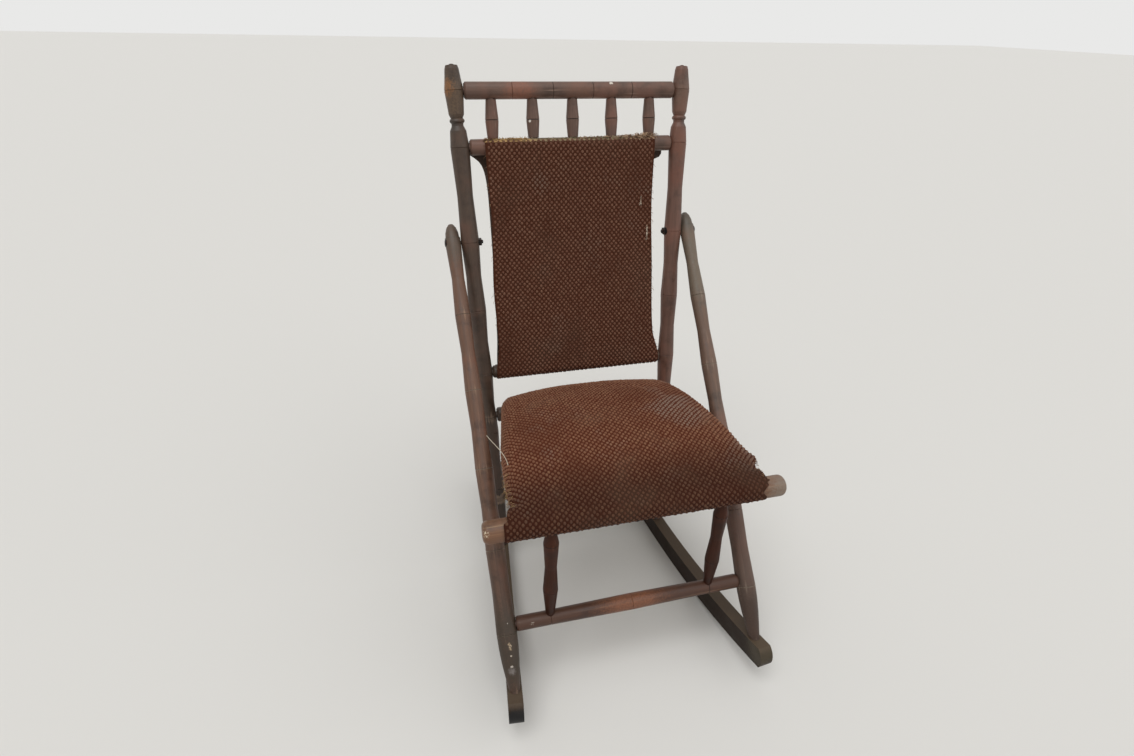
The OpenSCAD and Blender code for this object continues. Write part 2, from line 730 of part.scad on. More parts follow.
// Back carpet: over the front of the upper rail, down to the lower rail and round it
upper_centre = [post_y(upper_rail_h), upper_rail_h];
lower_centre = [post_y(lower_rail_h), lower_rail_h];
upper_wrap_r = upper_rail_r + fit + carpet_t;
lower_wrap_r = lower_rail_r + fit + carpet_t;
back_len = norm(upper_centre - lower_centre);
back_face = post_lean + asin((lower_wrap_r - upper_wrap_r) / back_len);
back_waist = 3;
top_edge = 52;
foot_wrap = 235;
fold_h = 2.4;

// Direction in the Y and Z plane, from the front upwards
function facing(a) = [-cos(a), sin(a)];

function back_half(v) = let(t = min(max(v - 1, 0), 1))
    mix(back_top_half, back_foot_half, t) - back_waist * sin(180 * t);

// Sag to the rear, with shallow upright folds low on the sheet
function back_depth(u, t) = back_sag * sin(180 * t) * (1 - 0.35 * u * u)
    + fold_h * sin(180 * t) * t * sin(400 * u + 60);

function back_skin(u, v, depth) =
    let(p = v < 1 ? upper_centre + (upper_wrap_r - depth) * facing(back_face + top_edge * (1 - v)) :
            v > 2 ? lower_centre + (lower_wrap_r - depth) * facing(back_face - foot_wrap * (v - 2)) :
            mix(upper_centre + upper_wrap_r * facing(back_face),
                lower_centre + lower_wrap_r * facing(back_face), v - 1)
                - (depth + back_depth(u, v - 1)) * facing(back_face))
    [u * back_half(v) - max(u, 0) * back_trim * (1 - min(max(v - 1, 0), 1)), p[0], p[1]];

back_us = [for (i = [0 : 18]) i / 9 - 1];
back_vs = concat(
    [for (i = [0 : 3]) i / 4],
    [for (i = [0 : 13]) 1 + i / 13],
    [for (i = [1 : 12]) 2 + i / 12]);

module back_carpet() {
    color(carpet_colour) between_grids(
        [for (v = back_vs) [for (u = back_us) back_skin(u, v, carpet_t)]],
        [for (v = back_vs) [for (u = back_us) back_skin(u, v, 0)]]);
}

left_rocker();
right_rocker();
left_back_post();
right_back_post();
left_arm();
right_arm();
left_arm_bolt();
right_arm_bolt();
left_arm_washer();
right_arm_washer();
left_arm_nut();
right_arm_nut();
front_seat_rail();
rear_seat_rail();
left_seat_rail();
right_seat_rail();
front_stretcher();
rear_stretcher();
left_front_spindle();
right_front_spindle();
top_rail();
upper_back_rail();
lower_back_rail();
back_spindle_1();
back_spindle_2();
back_spindle_3();
back_spindle_4();
back_spindle_5();
seat_webbing();
seat_stuffing();
seat_carpet();
back_carpet();
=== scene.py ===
# %% [markdown]
# # An old carpet rocking chair
# The chair stands on two curved runners. Ring-turned posts, rails and arms carry a stuffed seat and a
# back, both covered in a looped-pile carpet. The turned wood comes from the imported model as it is, and
# the cells below give it an aged finish. The cloth, the webbing, the tacks and the frayed edges are new
# meshes, because a solid model can't hold their folds and loose yarn.

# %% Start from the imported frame
import math

import bpy
import numpy as np
from mathutils import Matrix, Vector


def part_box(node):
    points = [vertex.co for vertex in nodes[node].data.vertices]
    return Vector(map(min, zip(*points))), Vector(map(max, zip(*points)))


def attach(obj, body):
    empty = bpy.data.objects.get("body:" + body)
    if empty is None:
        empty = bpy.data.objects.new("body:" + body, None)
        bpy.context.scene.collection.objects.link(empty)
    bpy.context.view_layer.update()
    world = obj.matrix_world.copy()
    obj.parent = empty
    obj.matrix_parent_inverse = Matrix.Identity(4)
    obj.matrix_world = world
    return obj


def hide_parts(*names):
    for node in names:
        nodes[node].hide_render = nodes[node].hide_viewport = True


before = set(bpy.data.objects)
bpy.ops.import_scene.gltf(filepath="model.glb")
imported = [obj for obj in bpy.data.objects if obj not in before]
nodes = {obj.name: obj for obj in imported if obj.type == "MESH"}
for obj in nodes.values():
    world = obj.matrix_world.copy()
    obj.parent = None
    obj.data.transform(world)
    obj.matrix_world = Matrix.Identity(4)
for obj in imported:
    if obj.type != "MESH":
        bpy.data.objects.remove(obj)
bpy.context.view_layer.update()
MM = 0.001
print("the frame has", len(nodes), "nodes")

# %% [markdown]
# ## Small helpers
# Colours are written as the hex values that a picture shows, so one function turns them into
# Blender's linear numbers. Another adds a shader node with its settings and inputs. An input is written
# as the node or the socket that it comes from, so a material reads from top to bottom like a recipe.
# At its end the Principled shader's own sockets are filled in the same way.

# %% Colours and shader nodes
def linear(hex_code):
    """sRGB hex to linear: c / 12.92 for dark values, else ((c + 0.055) / 1.055) to the power 2.4."""
    c = np.array([int(hex_code[i:i + 2], 16) for i in (1, 3, 5)]) / 255
    return (*np.where(c <= 0.04045, c / 12.92, ((c + 0.055) / 1.055) ** 2.4), 1.0)


def fill(tree, node, inputs):
    """Sets inputs of a node. Each takes a value, another node's output that is in use, or a socket."""
    for socket, value in inputs.items():
        if isinstance(value, bpy.types.Node):
            value = next(output for output in value.outputs if output.enabled)
        if isinstance(value, bpy.types.NodeSocket):
            tree.links.new(value, node.inputs[socket])
        else:
            node.inputs[socket].default_value = value


def add(tree, kind, inputs=None, **settings):
    """Adds a shader node, such as ShaderNodeMix for the kind "Mix", with its settings and inputs."""
    node = tree.nodes.new("ShaderNode" + kind)
    for name, value in settings.items():
        setattr(node, name, value)
    fill(tree, node, inputs or {})
    return node


def material_named(name):
    """An empty material, its node tree and its Principled shader."""
    material = bpy.data.materials.new(name)
    material.use_nodes = True
    return material, material.node_tree, material.node_tree.nodes["Principled BSDF"]


def finish_with(piece, material):
    """Gives a piece one material, whatever it had."""
    piece.data.materials.clear()
    piece.data.materials.append(material)


# %% Meshes from arrays of points
def quads_between(rows, cols):
    """Corner numbers of the quads between the rows and columns of a grid of points."""
    i, j = np.meshgrid(np.arange(rows - 1), np.arange(cols - 1), indexing="ij")
    a = i * cols + j
    return np.stack([a, a + 1, a + cols + 1, a + cols], -1).reshape(-1, 4)


def new_piece(name, points, faces, material, uv=None, slot=None):
    """A smooth mesh piece that rides on the chair. uv gives a pair of metres of cloth for each point."""
    mesh = bpy.data.meshes.new(name)
    mesh.from_pydata(np.asarray(points, float).reshape(-1, 3).tolist(), [], [list(f) for f in faces])
    if uv is not None:
        corners = np.empty(len(mesh.loops), int)
        mesh.loops.foreach_get("vertex_index", corners)
        layer = mesh.uv_layers.new(name="cloth")
        layer.data.foreach_set("uv", np.asarray(uv, float).reshape(-1, 2)[corners].ravel())
    mesh.polygons.foreach_set("use_smooth", np.ones(len(mesh.polygons), bool))
    mesh.update()
    piece = bpy.data.objects.new(name, mesh)
    bpy.context.scene.collection.objects.link(piece)
    finish_with(piece, material)
    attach(piece, "root")
    return piece


def thicken(piece, thickness):
    """A wall of the given thickness behind the piece's surface."""
    wall = piece.modifiers.new("cloth thickness", "SOLIDIFY")
    wall.thickness, wall.offset = thickness, -1


# %% [markdown]
# ## Camera
# The camera was found by matching the ends of the rails, the finials and the runners to the
# photograph, which is surer than turning it by eye. It looks down at the chair from in front of its
# left arm, through a wide lens.

# %% Place the camera
# Metres, radians, and the lens and the sensor's width in millimetres
CAMERA_AT = Vector((-0.3072, -0.9064, 1.0153))
TURN, TILT, ROLL = 0.2641, 0.5248, -0.0249
LENS, SENSOR = 20, 36


def camera_axes(turn, tilt, roll):
    """Right, up and back of a camera that looks along +Y, turned right, tilted down, then rolled."""
    ahead = Vector((math.sin(turn) * math.cos(tilt), math.cos(turn) * math.cos(tilt), -math.sin(tilt)))
    right = Vector((math.cos(turn), -math.sin(turn), 0))
    across = right * math.cos(roll) + ahead.cross(right) * math.sin(roll)
    return Matrix((across, across.cross(ahead), -ahead)).transposed()


camera = bpy.data.objects.new("camera", bpy.data.cameras.new("camera"))
bpy.context.scene.collection.objects.link(camera)
camera.data.sensor_width, camera.data.lens = SENSOR, LENS
camera.matrix_world = Matrix.Translation(CAMERA_AT) @ camera_axes(TURN, TILT, ROLL).to_4x4()
bpy.context.scene.camera = camera
bpy.context.scene.view_settings.view_transform = "Standard"
print("lens", LENS, "mm, camera", [round(c, 2) for c in CAMERA_AT])

# %% [markdown]
# ## Floor and light
# A wide pale floor catches the shadow. The light is a soft sky with two broad suns, one high on the left
# and one low on the right, at a level where a colour renders about as it is written. Lamps would light
# one side well, while a sky reaches all round, as a room's pale walls do. The camera and reflections
# see it as nearly white.

# %% Floor
# Trowelled concrete under matt paint: it scatters light evenly, so it shows shadows and no reflections
FLOOR_HALF = 30
paint, tree, shader = material_named("painted concrete floor")
fill(tree, shader, {"Base Color": linear("#DAD9D6"), "Roughness": 0.85})
mesh = bpy.data.meshes.new("floor")
corners = np.array([(-1, -1, 0), (1, -1, 0), (1, 1, 0), (-1, 1, 0)]) * FLOOR_HALF
mesh.from_pydata(corners.tolist(), [], [(0, 1, 2, 3)])
floor = bpy.data.objects.new("floor", mesh)
bpy.context.scene.collection.objects.link(floor)
finish_with(floor, paint)
print("floor", 2 * FLOOR_HALF, "m wide")

# %% Sky and suns
SKY_LIGHT, SKY_SEEN = 0.52, 1.0
world = bpy.data.worlds.new("studio sky")
bpy.context.scene.world = world
world.use_nodes = True
tree = world.node_tree
tree.nodes.clear()
rays = add(tree, "LightPath")
seen = add(tree, "Math", {0: rays.outputs["Is Camera Ray"], 1: rays.outputs["Is Glossy Ray"]},
           operation="MAXIMUM")
soft = add(tree, "Background", {"Color": linear("#F6F4F0"), "Strength": SKY_LIGHT})
white = add(tree, "Background", {"Color": linear("#E9E9E8"), "Strength": SKY_SEEN})
sky = add(tree, "MixShader", {0: seen, 1: soft, 2: white})
add(tree, "OutputWorld", {"Surface": sky})


def soft_sun(name, strength, width, height, turn):
    """A broad sun. Its height above the floor, and its turn from the front to the right, are in degrees."""
    data = bpy.data.lights.new(name, "SUN")
    data.energy, data.angle = strength, math.radians(width)
    piece = bpy.data.objects.new(name, data)
    bpy.context.scene.collection.objects.link(piece)
    h, t = math.radians(height), math.radians(turn)
    toward = Vector((math.sin(t) * math.cos(h), -math.cos(t) * math.cos(h), math.sin(h)))
    piece.rotation_euler = (-toward).to_track_quat("-Z", "Y").to_euler()


soft_sun("ceiling light", 1.5, 50, 68, -35)
soft_sun("window light", 0.5, 60, 35, 60)
print("sky at", SKY_LIGHT, "on the chair and at", SKY_SEEN, "to the camera, with 2 suns")

# %% [markdown]
# ## Where each turned member runs
# Wood grain follows a member's length, so each one needs its own axis: the direction in which its
# points spread most. The scored rings are found too, as places where the outer radius dips sharply,
# because old dirt and dust collect in them. All this could be typed in for each member, but found from
# its mesh it stays right when the model changes. Only the line at the foot of each arm's knob is given:
# the mesh has no groove there, so that dark line is a painted groove, its shade painted in the dirt's tone.

# %% Axis of a member
def points_of(node):
    """A node's vertices as an array."""
    mesh = nodes[node].data
    points = np.empty(len(mesh.vertices) * 3)
    mesh.vertices.foreach_get("co", points)
    return points.reshape(-1, 3)


def axis_of(node):
    """Middle of a node's box, and the unit direction in which its points spread most, upwards."""
    points = points_of(node)
    low, high = points.min(0), points.max(0)
    way = np.linalg.svd(points - points.mean(0), full_matrices=False)[2][0]
    return (low + high) / 2, way * (1 if way[2] >= 0 else -1)


# %% Scored rings of a member
# How thick a slice is, how deep a groove and how wide a ring, the share of the full radius below which
# a slice belongs to a tenon, the most rings on a member, and Y and Z of the painted groove line at the
# knobs' feet, where the mesh has no groove
STEP, GROOVE, RING_GAP = 0.4 * MM, 0.4 * MM, 3 * MM
TENON_SHARE = 0.7
MOST_RINGS = 12
PAINTED_KNOB_GROOVE = (0.192, 0.670)


def ring_places(node):
    """Places along the axis where the largest radius is a groove's depth less than on both sides. The
    slim tenons at the ends are left out."""
    centre, way = axis_of(node)
    offsets = points_of(node) - centre
    along = offsets @ way
    radius = np.linalg.norm(offsets - along[:, None] * way, axis=1)
    levels, own = np.unique(np.round(along / STEP).astype(int), return_inverse=True)
    outer = np.zeros(len(levels))
    np.maximum.at(outer, own, radius)
    real = outer > TENON_SHARE * outer.max()
    levels, outer = levels[real] * STEP, outer[real]
    dips = outer[1:-1] < np.minimum(outer[:-2], outer[2:]) - GROOVE
    close = levels[2:] - levels[:-2] < RING_GAP
    return levels[1:-1][dips & close][:MOST_RINGS]


turned = [n for n in nodes if n.endswith(("_post", "_arm", "_rail", "_stretcher")) or "spindle" in n]
rings = {n: ring_places(n) for n in turned}
# Each arm also gets a dark line at its knob's foot, where the mesh has no groove: painted groove shade
for node in ("left_arm", "right_arm"):
    centre, way = axis_of(node)
    rings[node] = np.append(rings[node], (np.array([centre[0], *PAINTED_KNOB_GROOVE]) - centre) @ way)
print("scored rings:", {n: len(r) for n, r in rings.items() if len(r)})

# %% [markdown]
# ## Old stained wood
# The members are a close-grained hardwood, such as beech or maple, turned on a lathe, stained dark and
# finished with shellac. The stain sits deeper in the soft grain, which gives fine streaks, and the
# polish has worn to broken, soft highlights. A century of use has dulled it: the body is a grey brown,
# redder where hands rubbed it, paler on the ridges, and nearly black in the coves. A picture of wood
# would have to be wrapped round every turning and would repeat, so the pattern is stretched noise in
# each member's own directions. A Mapping node first turns its axis upright.

# %% Wood: measures and tones
# Widths and lengths of the grain, the patches, the scored rings and the chips in the finish
GRAIN_W, GRAIN_L, FINE_W = 1.1 * MM, 70 * MM, 0.35 * MM
PATCH, CHIP = 34 * MM, 3 * MM
RING_W, RIDGE_W = 1.0 * MM, 16 * MM
SMOOTH = {"interpolation_type": "SMOOTHSTEP"}
RUNNERS = ["left_rocker", "right_rocker"]
FRONT_SPINDLES = ["left_front_spindle", "right_front_spindle"]

# Each member's dark, body, red and worn tone
POST_TONES = ("#2A2019", "#4D3D32", "#634437", "#7E6958")
RIGHT_POST_TONES = ("#3A2A22", "#6A4C40", "#774F41", "#8E7564")
UPPER_TONES = ("#3E2E26", "#664E43", "#775042", "#917869")
ARM_TONES = ("#35271F", "#6A4D3D", "#764E3D", "#8E745F")
OLIVE_TONES = ("#352C26", "#6E5648", "#795749", "#8A7A6C")
RAIL_TONES = ("#4A3529", "#75533D", "#80533D", "#A0825F")
LOW_TONES = ("#32211A", "#61402F", "#6C4332", "#765B47")
SPINDLE_TONES = ("#24140D", "#442417", "#52291B", "#6A4432")
RUNNER_TONES = ("#1E1610", "#382B22", "#402E24", "#50443A")


# %% Wood: rings, spots and dust
# The rings' dark tone is dirt; on the knob-foot line, where the mesh has no groove, it is painted groove
# shade too
RING_DIRT_AND_GROOVE_SHADE, RING_DUST, TRODDEN = linear("#1E1613"), linear("#A89A88"), linear("#5C4E40")
# What a spot's density and the noise have to reach together, how much it covers at most, and the share
# of its radius that has the full density
SPOT_LEVEL, SPOT_SHARE, SPOT_CORE = 1.03, 0.85, 0.3


def ring_marks(tree, height, places, pale):
    """The wear with more of it on the ridges by the scored rings, and a mask that is 1 on the rings."""
    lines = 0.0
    for at in places:
        away = add(tree, "Math", {0: height, 1: float(at)}, operation="SUBTRACT")
        away = add(tree, "Math", {0: away}, operation="ABSOLUTE")
        ridge = add(tree, "MapRange", {0: away, 1: RIDGE_W, 2: 2 * RING_W, 4: 0.07})
        pale = add(tree, "Math", {0: ridge, 1: pale}, operation="ADD")
        line = add(tree, "MapRange", {0: away, 1: RING_W, 2: 0.4 * RING_W})
        lines = add(tree, "Math", {0: lines, 1: line}, operation="MAXIMUM")
    return pale, lines


def spot_layers(tree, place, chips, spots):
    """Share and tone of each spot: its density falls with the distance, and noise breaks up its edge."""
    layers = []
    for x, y, z, radius, tone, density, soft in spots:
        gap = add(tree, "VectorMath", {0: place, 1: (x * MM, y * MM, z * MM)}, operation="DISTANCE")
        near = add(tree, "MapRange", {0: gap, 1: radius * MM, 2: SPOT_CORE * radius * MM, 4: density})
        near = add(tree, "Math", {0: near, 1: chips}, operation="ADD")
        near = add(tree, "MapRange", {0: near, 1: SPOT_LEVEL - soft, 2: SPOT_LEVEL + soft, 4: SPOT_SHARE},
                   **SMOOTH)
        layers.append((near, linear(tone)))
    return layers


def trodden_dust(tree, patches):
    """How much dust lies on a face: more where it looks upwards, broken up by the patches."""
    upward = add(tree, "SeparateXYZ", {0: add(tree, "NewGeometry").outputs["Normal"]}).outputs[2]
    lying = add(tree, "MapRange", {0: upward, 1: 0.5, 2: 0.9, 4: 0.7}, **SMOOTH)
    lying = add(tree, "Math", {0: lying, 1: 0.3}, operation="SUBTRACT")
    lying = add(tree, "Math", {0: patches, 1: 0.6, 2: lying}, operation="MULTIPLY_ADD", use_clamp=True)
    return add(tree, "Math", {0: lying, 1: upward}, operation="MULTIPLY", use_clamp=True)


# %% Wood: the material
def old_wood(node, tones, wear, spots, shine):
    """Stained and shellacked hardwood in four tones. A spot is a place and a radius in mm, a tone, a
    density and the softness of its edge."""
    material, tree, shader = material_named(node + " stained hardwood")
    centre, way = axis_of(node)
    upright = Vector(way).rotation_difference(Vector((0, 0, 1)))
    dark, body, reddish, worn = (linear(tone) for tone in tones)
    place = add(tree, "TexCoord").outputs["Object"]
    own = add(tree, "Mapping", {"Vector": place, "Rotation": upright.to_euler(),
                                "Location": -(upright @ Vector(centre))})
    along = add(tree, "Mapping", {"Vector": own, "Scale": (1 / GRAIN_W, 1 / GRAIN_W, 1 / GRAIN_L)})
    grain, broad, fibres, rough, patches, red, chips = (
        add(tree, "TexNoise", {"Vector": where, "Scale": scale, "Detail": detail, "Roughness": roughness})
        for where, scale, detail, roughness in (
            (along, 1.0, 3.0, 0.55), (along, 0.16, 4.0, 0.6), (along, GRAIN_W / FINE_W, 2.0, 0.5),
            (along, 0.3, 6.0, 0.72), (own, 1 / PATCH, 5.0, 0.62), (place, 0.5 / PATCH, 3.0, 0.6),
            (own, 1 / CHIP, 4.0, 0.7)))
    # The body over the dark with the grain, then red patches, dark ones, and soiling near the floor
    streaks = add(tree, "Math", {0: broad, 1: 0.6}, operation="MULTIPLY")
    streaks = add(tree, "Math", {0: grain, 1: 0.4, 2: streaks}, operation="MULTIPLY_ADD")
    level = add(tree, "SeparateXYZ", {0: place}).outputs[2]
    layers = [(add(tree, "MapRange", {0: streaks, 1: 0.34, 2: 0.6, 3: 0.5, 4: 1.0}), body),
              (add(tree, "MapRange", {0: red, 1: 0.46, 2: 0.72, 4: 0.6}, **SMOOTH), reddish),
              (add(tree, "MapRange", {0: patches, 1: 0.52, 2: 0.3, 4: 0.6}, **SMOOTH), dark),
              (add(tree, "MapRange", {0: level, 1: 0.36, 2: 0.12, 4: 0.6}), dark)]
    # Wear: pale where a rough noise is high, more so near the ridges by the scored rings
    height = add(tree, "SeparateXYZ", {0: own}).outputs[2]
    pale = add(tree, "Math", {0: wear, 1: 0.1, 2: rough}, operation="MULTIPLY_ADD")
    scored = rings.get(node, ())
    pale, lines = ring_marks(tree, height, scored, pale)
    layers.append((add(tree, "MapRange", {0: pale, 1: 0.63, 2: 0.76, 4: 0.7}, **SMOOTH), worn))
    if len(scored):
        # Dirt fills the rings above, and pale floor dust those low on the arms. At each knob's foot the mesh
        # has no groove, so the dark line there is painted groove shade as well as dirt
        low = add(tree, "MapRange", {0: level, 1: 0.66, 2: 0.5, 4: 0.55 if node.endswith("_arm") else 0.0})
        dirt = add(tree, "Mix", {0: low, 6: RING_DIRT_AND_GROOVE_SHADE, 7: RING_DUST}, data_type="RGBA")
        broken = add(tree, "MapRange", {0: patches, 1: 0.3, 2: 0.55, 3: 0.25, 4: 0.8})
        layers.append((add(tree, "Math", {0: lines, 1: broken}, operation="MULTIPLY"), dirt))
    # Local spots are the bare, rubbed or paint-splashed places, and dust lies on the runners' upper faces
    layers += spot_layers(tree, place, chips, spots)
    if node in RUNNERS:
        layers.append((trodden_dust(tree, patches), TRODDEN))
    colour = dark
    for share, tone in layers:
        colour = add(tree, "Mix", {0: share, 6: colour, 7: tone}, data_type="RGBA")
    # Shellac left in the hollows shines, bare wood doesn't
    dull = add(tree, "MapRange", {0: patches, 1: 0.3, 2: 0.7, 3: 0.36, 4: 0.6})
    relief = add(tree, "Math", {0: fibres, 1: 0.25, 2: grain}, operation="MULTIPLY_ADD")
    relief = add(tree, "Math", {0: patches, 1: 1.2, 2: relief}, operation="MULTIPLY_ADD")
    bump = add(tree, "Bump", {"Height": relief, "Strength": 0.3, "Distance": 0.35 * MM})
    fill(tree, shader, {"Base Color": colour, "Roughness": dull, "Specular IOR Level": shine, "Normal": bump})
    return material


# %% [markdown]
# Each member gets its tones and its own marks: an orange band round the left finial, white paint
# specks low on the left arm, and red patches on the top rail and the right post.

# %% Wood: on the members
# Rows of x, y, z and radius in mm, tone, density and softness
SPOTS = {
    "left_back_post": [
        (-213, 235, 890, 70, "#6C5844", 0.5, 0.35), (-215, 240, 905, 30, "#8A5C34", 0.6, 0.2),
        (-211, 226, 850, 22, "#37312C", 0.7, 0.3)],
    "right_back_post": [
        (213, 235, 890, 70, "#6E5B4C", 0.5, 0.35), (204, 212, 813, 50, "#724A3A", 0.6, 0.3),
        (196, 204, 760, 40, "#6F4638", 0.55, 0.3), (211, 226, 850, 20, "#463630", 0.65, 0.3)],
    "top_rail": [
        (-94, 231, 900, 50, "#885642", 0.6, 0.35), (10, 231, 900, 50, "#74503F", 0.5, 0.35),
        (68, 238, 912, 7, "#D8D0C4", 0.7, 0.05)],
    "back_spindle_2": [(-78, 227, 854, 4, "#E6E0D6", 0.75, 0.05)],
    "left_arm": [
        (-216, 195, 665, 75, "#4F463C", 0.75, 0.35), (-216, -260, 140, 120, "#332C22", 0.75, 0.35),
        (-215, -251.5, 141.5, 6, "#AD987C", 0.56, 0.12),
        (-213.5, -253.5, 138.5, 6, "#C2AF94", 0.56, 0.12),
        (-214.2, -255.5, 135, 6, "#AD987C", 0.56, 0.15), (-213.5, -231, 166, 3, "#DCD6CC", 0.6, 0.05),
        (-213.5, -262, 126, 3.5, "#C4B8A8", 0.6, 0.12), (-214.5, -271, 112, 4.5, "#C6BDB2", 0.6, 0.15),
        (-215, -275, 106, 11, "#7C7572", 0.6, 0.3)],
    "right_arm": [
        (216, 205, 684, 50, "#4A433A", 0.8, 0.3), (216, 140, 610, 140, "#6A6456", 0.6, 0.4),
        (216, -150, 280, 220, "#5C3F34", 0.6, 0.4), (216, -280, 100, 100, "#38261C", 0.75, 0.35)],
    "front_stretcher": [
        (0, -240, 152, 100, "#8C5A40", 0.6, 0.35), (-160, -240, 155, 70, "#4A3226", 0.75, 0.35),
        (-173, -236, 158, 14, "#D5CCBE", 0.44, 0.04), (-20, -231, 150, 6, "#D5CCBE", 0.6, 0.04)],
    "left_front_spindle": [(-136, -244, 209, 10, "#DDD6CA", 0.65, 0.05)],
    "front_seat_rail": [
        (-241, -238, 370, 14, "#DCCFB4", 0.5, 0.05), (243, -232, 360, 60, "#7E7266", 0.7, 0.3)],
    "left_rocker": [
        (-217, -332, 58, 34, "#1C1D1F", 0.95, 0.15), (-217, -300, 70, 30, "#4A4038", 0.75, 0.3)],
    "right_rocker": [(212, -315, 75, 55, "#494134", 0.8, 0.3)],
}
TONES = {"right_back_post": (RIGHT_POST_TONES, 0.2), "left_arm": (ARM_TONES, 0.4),
         "right_arm": (OLIVE_TONES, 0.4), "front_seat_rail": (RAIL_TONES, 0.9),
         "front_stretcher": (LOW_TONES, 0.5), "top_rail": (UPPER_TONES, 0.3),
         "upper_back_rail": (UPPER_TONES, 0.3)}
TONES.update({n: (UPPER_TONES, 0.2) for n in turned if n.startswith("back_spindle")})
TONES.update({n: (SPINDLE_TONES, 0.1) for n in FRONT_SPINDLES})
TONES.update({n: (RUNNER_TONES, 0.3) for n in RUNNERS})
SHINE, DULLED = 0.38, 0.15
for node in turned + RUNNERS:
    tones, wear = TONES.get(node, (POST_TONES, 0.2))
    shine = DULLED if node in RUNNERS + FRONT_SPINDLES else SHINE
    finish_with(nodes[node], old_wood(node, tones, wear, SPOTS.get(node, ()), shine))
print("wood on", len(turned + RUNNERS), "members")

# %% [markdown]
# ## Blackened iron
# The arm bolts, washers and nuts are plain iron, hot-blackened and long since gone dull, with rust
# where a coarse noise is high. The same noise drives the pits, so that they lie where the rust is,
# which two separate patterns wouldn't do. The upholstery tacks share the finish.

# %% Iron
# Forged iron, blackened in oil: a dark skin, too dull to mirror anything, with rough brown pits of rust
RUST = 4 * MM
blackened, tree, shader = material_named("blackened iron")
place = add(tree, "TexCoord").outputs["Object"]
rust = add(tree, "TexNoise", {"Vector": place, "Scale": 1 / RUST, "Detail": 4.0})
stains = add(tree, "MapRange", {0: rust, 1: 0.5, 2: 0.7})
colour = add(tree, "Mix", {0: stains, 6: linear("#211E1D"), 7: linear("#4E3426")}, data_type="RGBA")
pits = add(tree, "Bump", {"Height": rust, "Strength": 0.4, "Distance": 0.4 * MM})
fill(tree, shader, {"Base Color": colour, "Metallic": 0.7, "Roughness": 0.55, "Normal": pits})
iron_nodes = [n for n in nodes if n.endswith(("_bolt", "_washer", "_nut"))]
for node in iron_nodes:
    finish_with(nodes[node], blackened)
print("iron on", len(iron_nodes), "pieces")

# %% [markdown]
# ## Carpet yarn and ground
# The cover is a woven wool carpet with rows of uncut loops on a dark ground. The loops stand in a
# staggered lattice that repeats every 9 mm or so across and along, measured on the photograph. A bump
# could draw them, but real small domes catch the light and roughen the outline as the loops do. The
# ground needs only a fine weave, and each loop takes its own shade from its place in the cloth.

# %% Carpet measures
# Repeats across and along, the ground's yarn, the wool's fibre as coarse as it needs to be to show, how
# far along the cloth it is soiled, where that has faded out and how much, the sizes of the dust patches,
# and the size of the upright streaks of painted shade that stand for soft folds in the wool
BACK_REPEAT, SEAT_REPEAT = (8.7 * MM, 10 * MM), (9.3 * MM, 9.5 * MM)
YARN, FIBRE = 1.2 * MM, 0.9 * MM
SEAT_SOIL, BACK_SOIL = (0.05, 0.16, 0.6), (0.0, 0.02, 0.2)
GRIME = linear("#1C0E08")
GROUND_DUST, WOOL_DUST, FOLD_SHADE_SIZE = 90 * MM, 70 * MM, np.array([70, 90, 160]) * MM


def magic_scale(yarn):
    """Scale of a magic texture that has one wave to a yarn. Blender multiplies places in it by 5."""
    return 2 * math.pi / yarn / 5


# %% Carpet ground
def raw_top(tree, run, place):
    """Where warp is bare along a cut top edge, and its tones: golden, dull green, and tan on the right."""
    x = add(tree, "SeparateXYZ", {0: place}).outputs[0]
    left = add(tree, "MapRange", {0: x, 1: -60 * MM, 2: -90 * MM})
    right = add(tree, "MapRange", {0: x, 1: 70 * MM, 2: 100 * MM})
    tone = add(tree, "Mix", {0: left, 6: linear("#8A7A5F"), 7: linear("#B39264")}, data_type="RGBA")
    tone = add(tree, "Mix", {0: right, 6: tone, 7: linear("#9A7E64")}, data_type="RGBA")
    fuzz = add(tree, "TexNoise", {"Vector": place, "Scale": 1 / (4 * MM), "Detail": 4.0, "Roughness": 0.7})
    torn = add(tree, "Math", {0: fuzz, 1: -6 * MM, 2: run}, operation="MULTIPLY_ADD")
    return add(tree, "MapRange", {0: torn, 1: 3.2 * MM, 2: 2.2 * MM}), tone


def carpet_ground(name, tone, dusty, soil, raw=False):
    """Flat woven ground between the loops. Jute and cotton yarns cross at right angles, unpolished, so
    it is matt and drinks light, with dust in broad patches."""
    material, tree, shader = material_named(name)
    cloth = add(tree, "UVMap", uv_map="cloth")
    run = add(tree, "SeparateXYZ", {0: cloth}).outputs[1]
    place = add(tree, "TexCoord").outputs["Object"]
    crossed = add(tree, "TexMagic", {"Vector": cloth, "Scale": magic_scale(YARN), "Distortion": 0.4},
                  turbulence_depth=1).outputs["Fac"]
    dust = add(tree, "TexNoise", {"Vector": place, "Scale": 1 / GROUND_DUST, "Detail": 5.0, "Roughness": 0.6})
    layers = [(add(tree, "MapRange", {0: dust, 1: 0.5, 2: 0.75, 4: 0.5}, **SMOOTH), linear(dusty)),
              (add(tree, "MapRange", {0: run, 1: soil[0], 2: soil[1], 3: soil[2], 4: 0.0}, **SMOOTH), GRIME)]
    if raw:
        layers.append(raw_top(tree, run, place))
    colour = linear(tone)
    for share, over in layers:
        colour = add(tree, "Mix", {0: share, 6: colour, 7: over}, data_type="RGBA")
    bump = add(tree, "Bump", {"Height": crossed, "Strength": 0.6, "Distance": 0.5 * MM})
    fill(tree, shader, {"Base Color": colour, "Roughness": 0.95, "Specular IOR Level": 0.15, "Normal": bump})
    return material


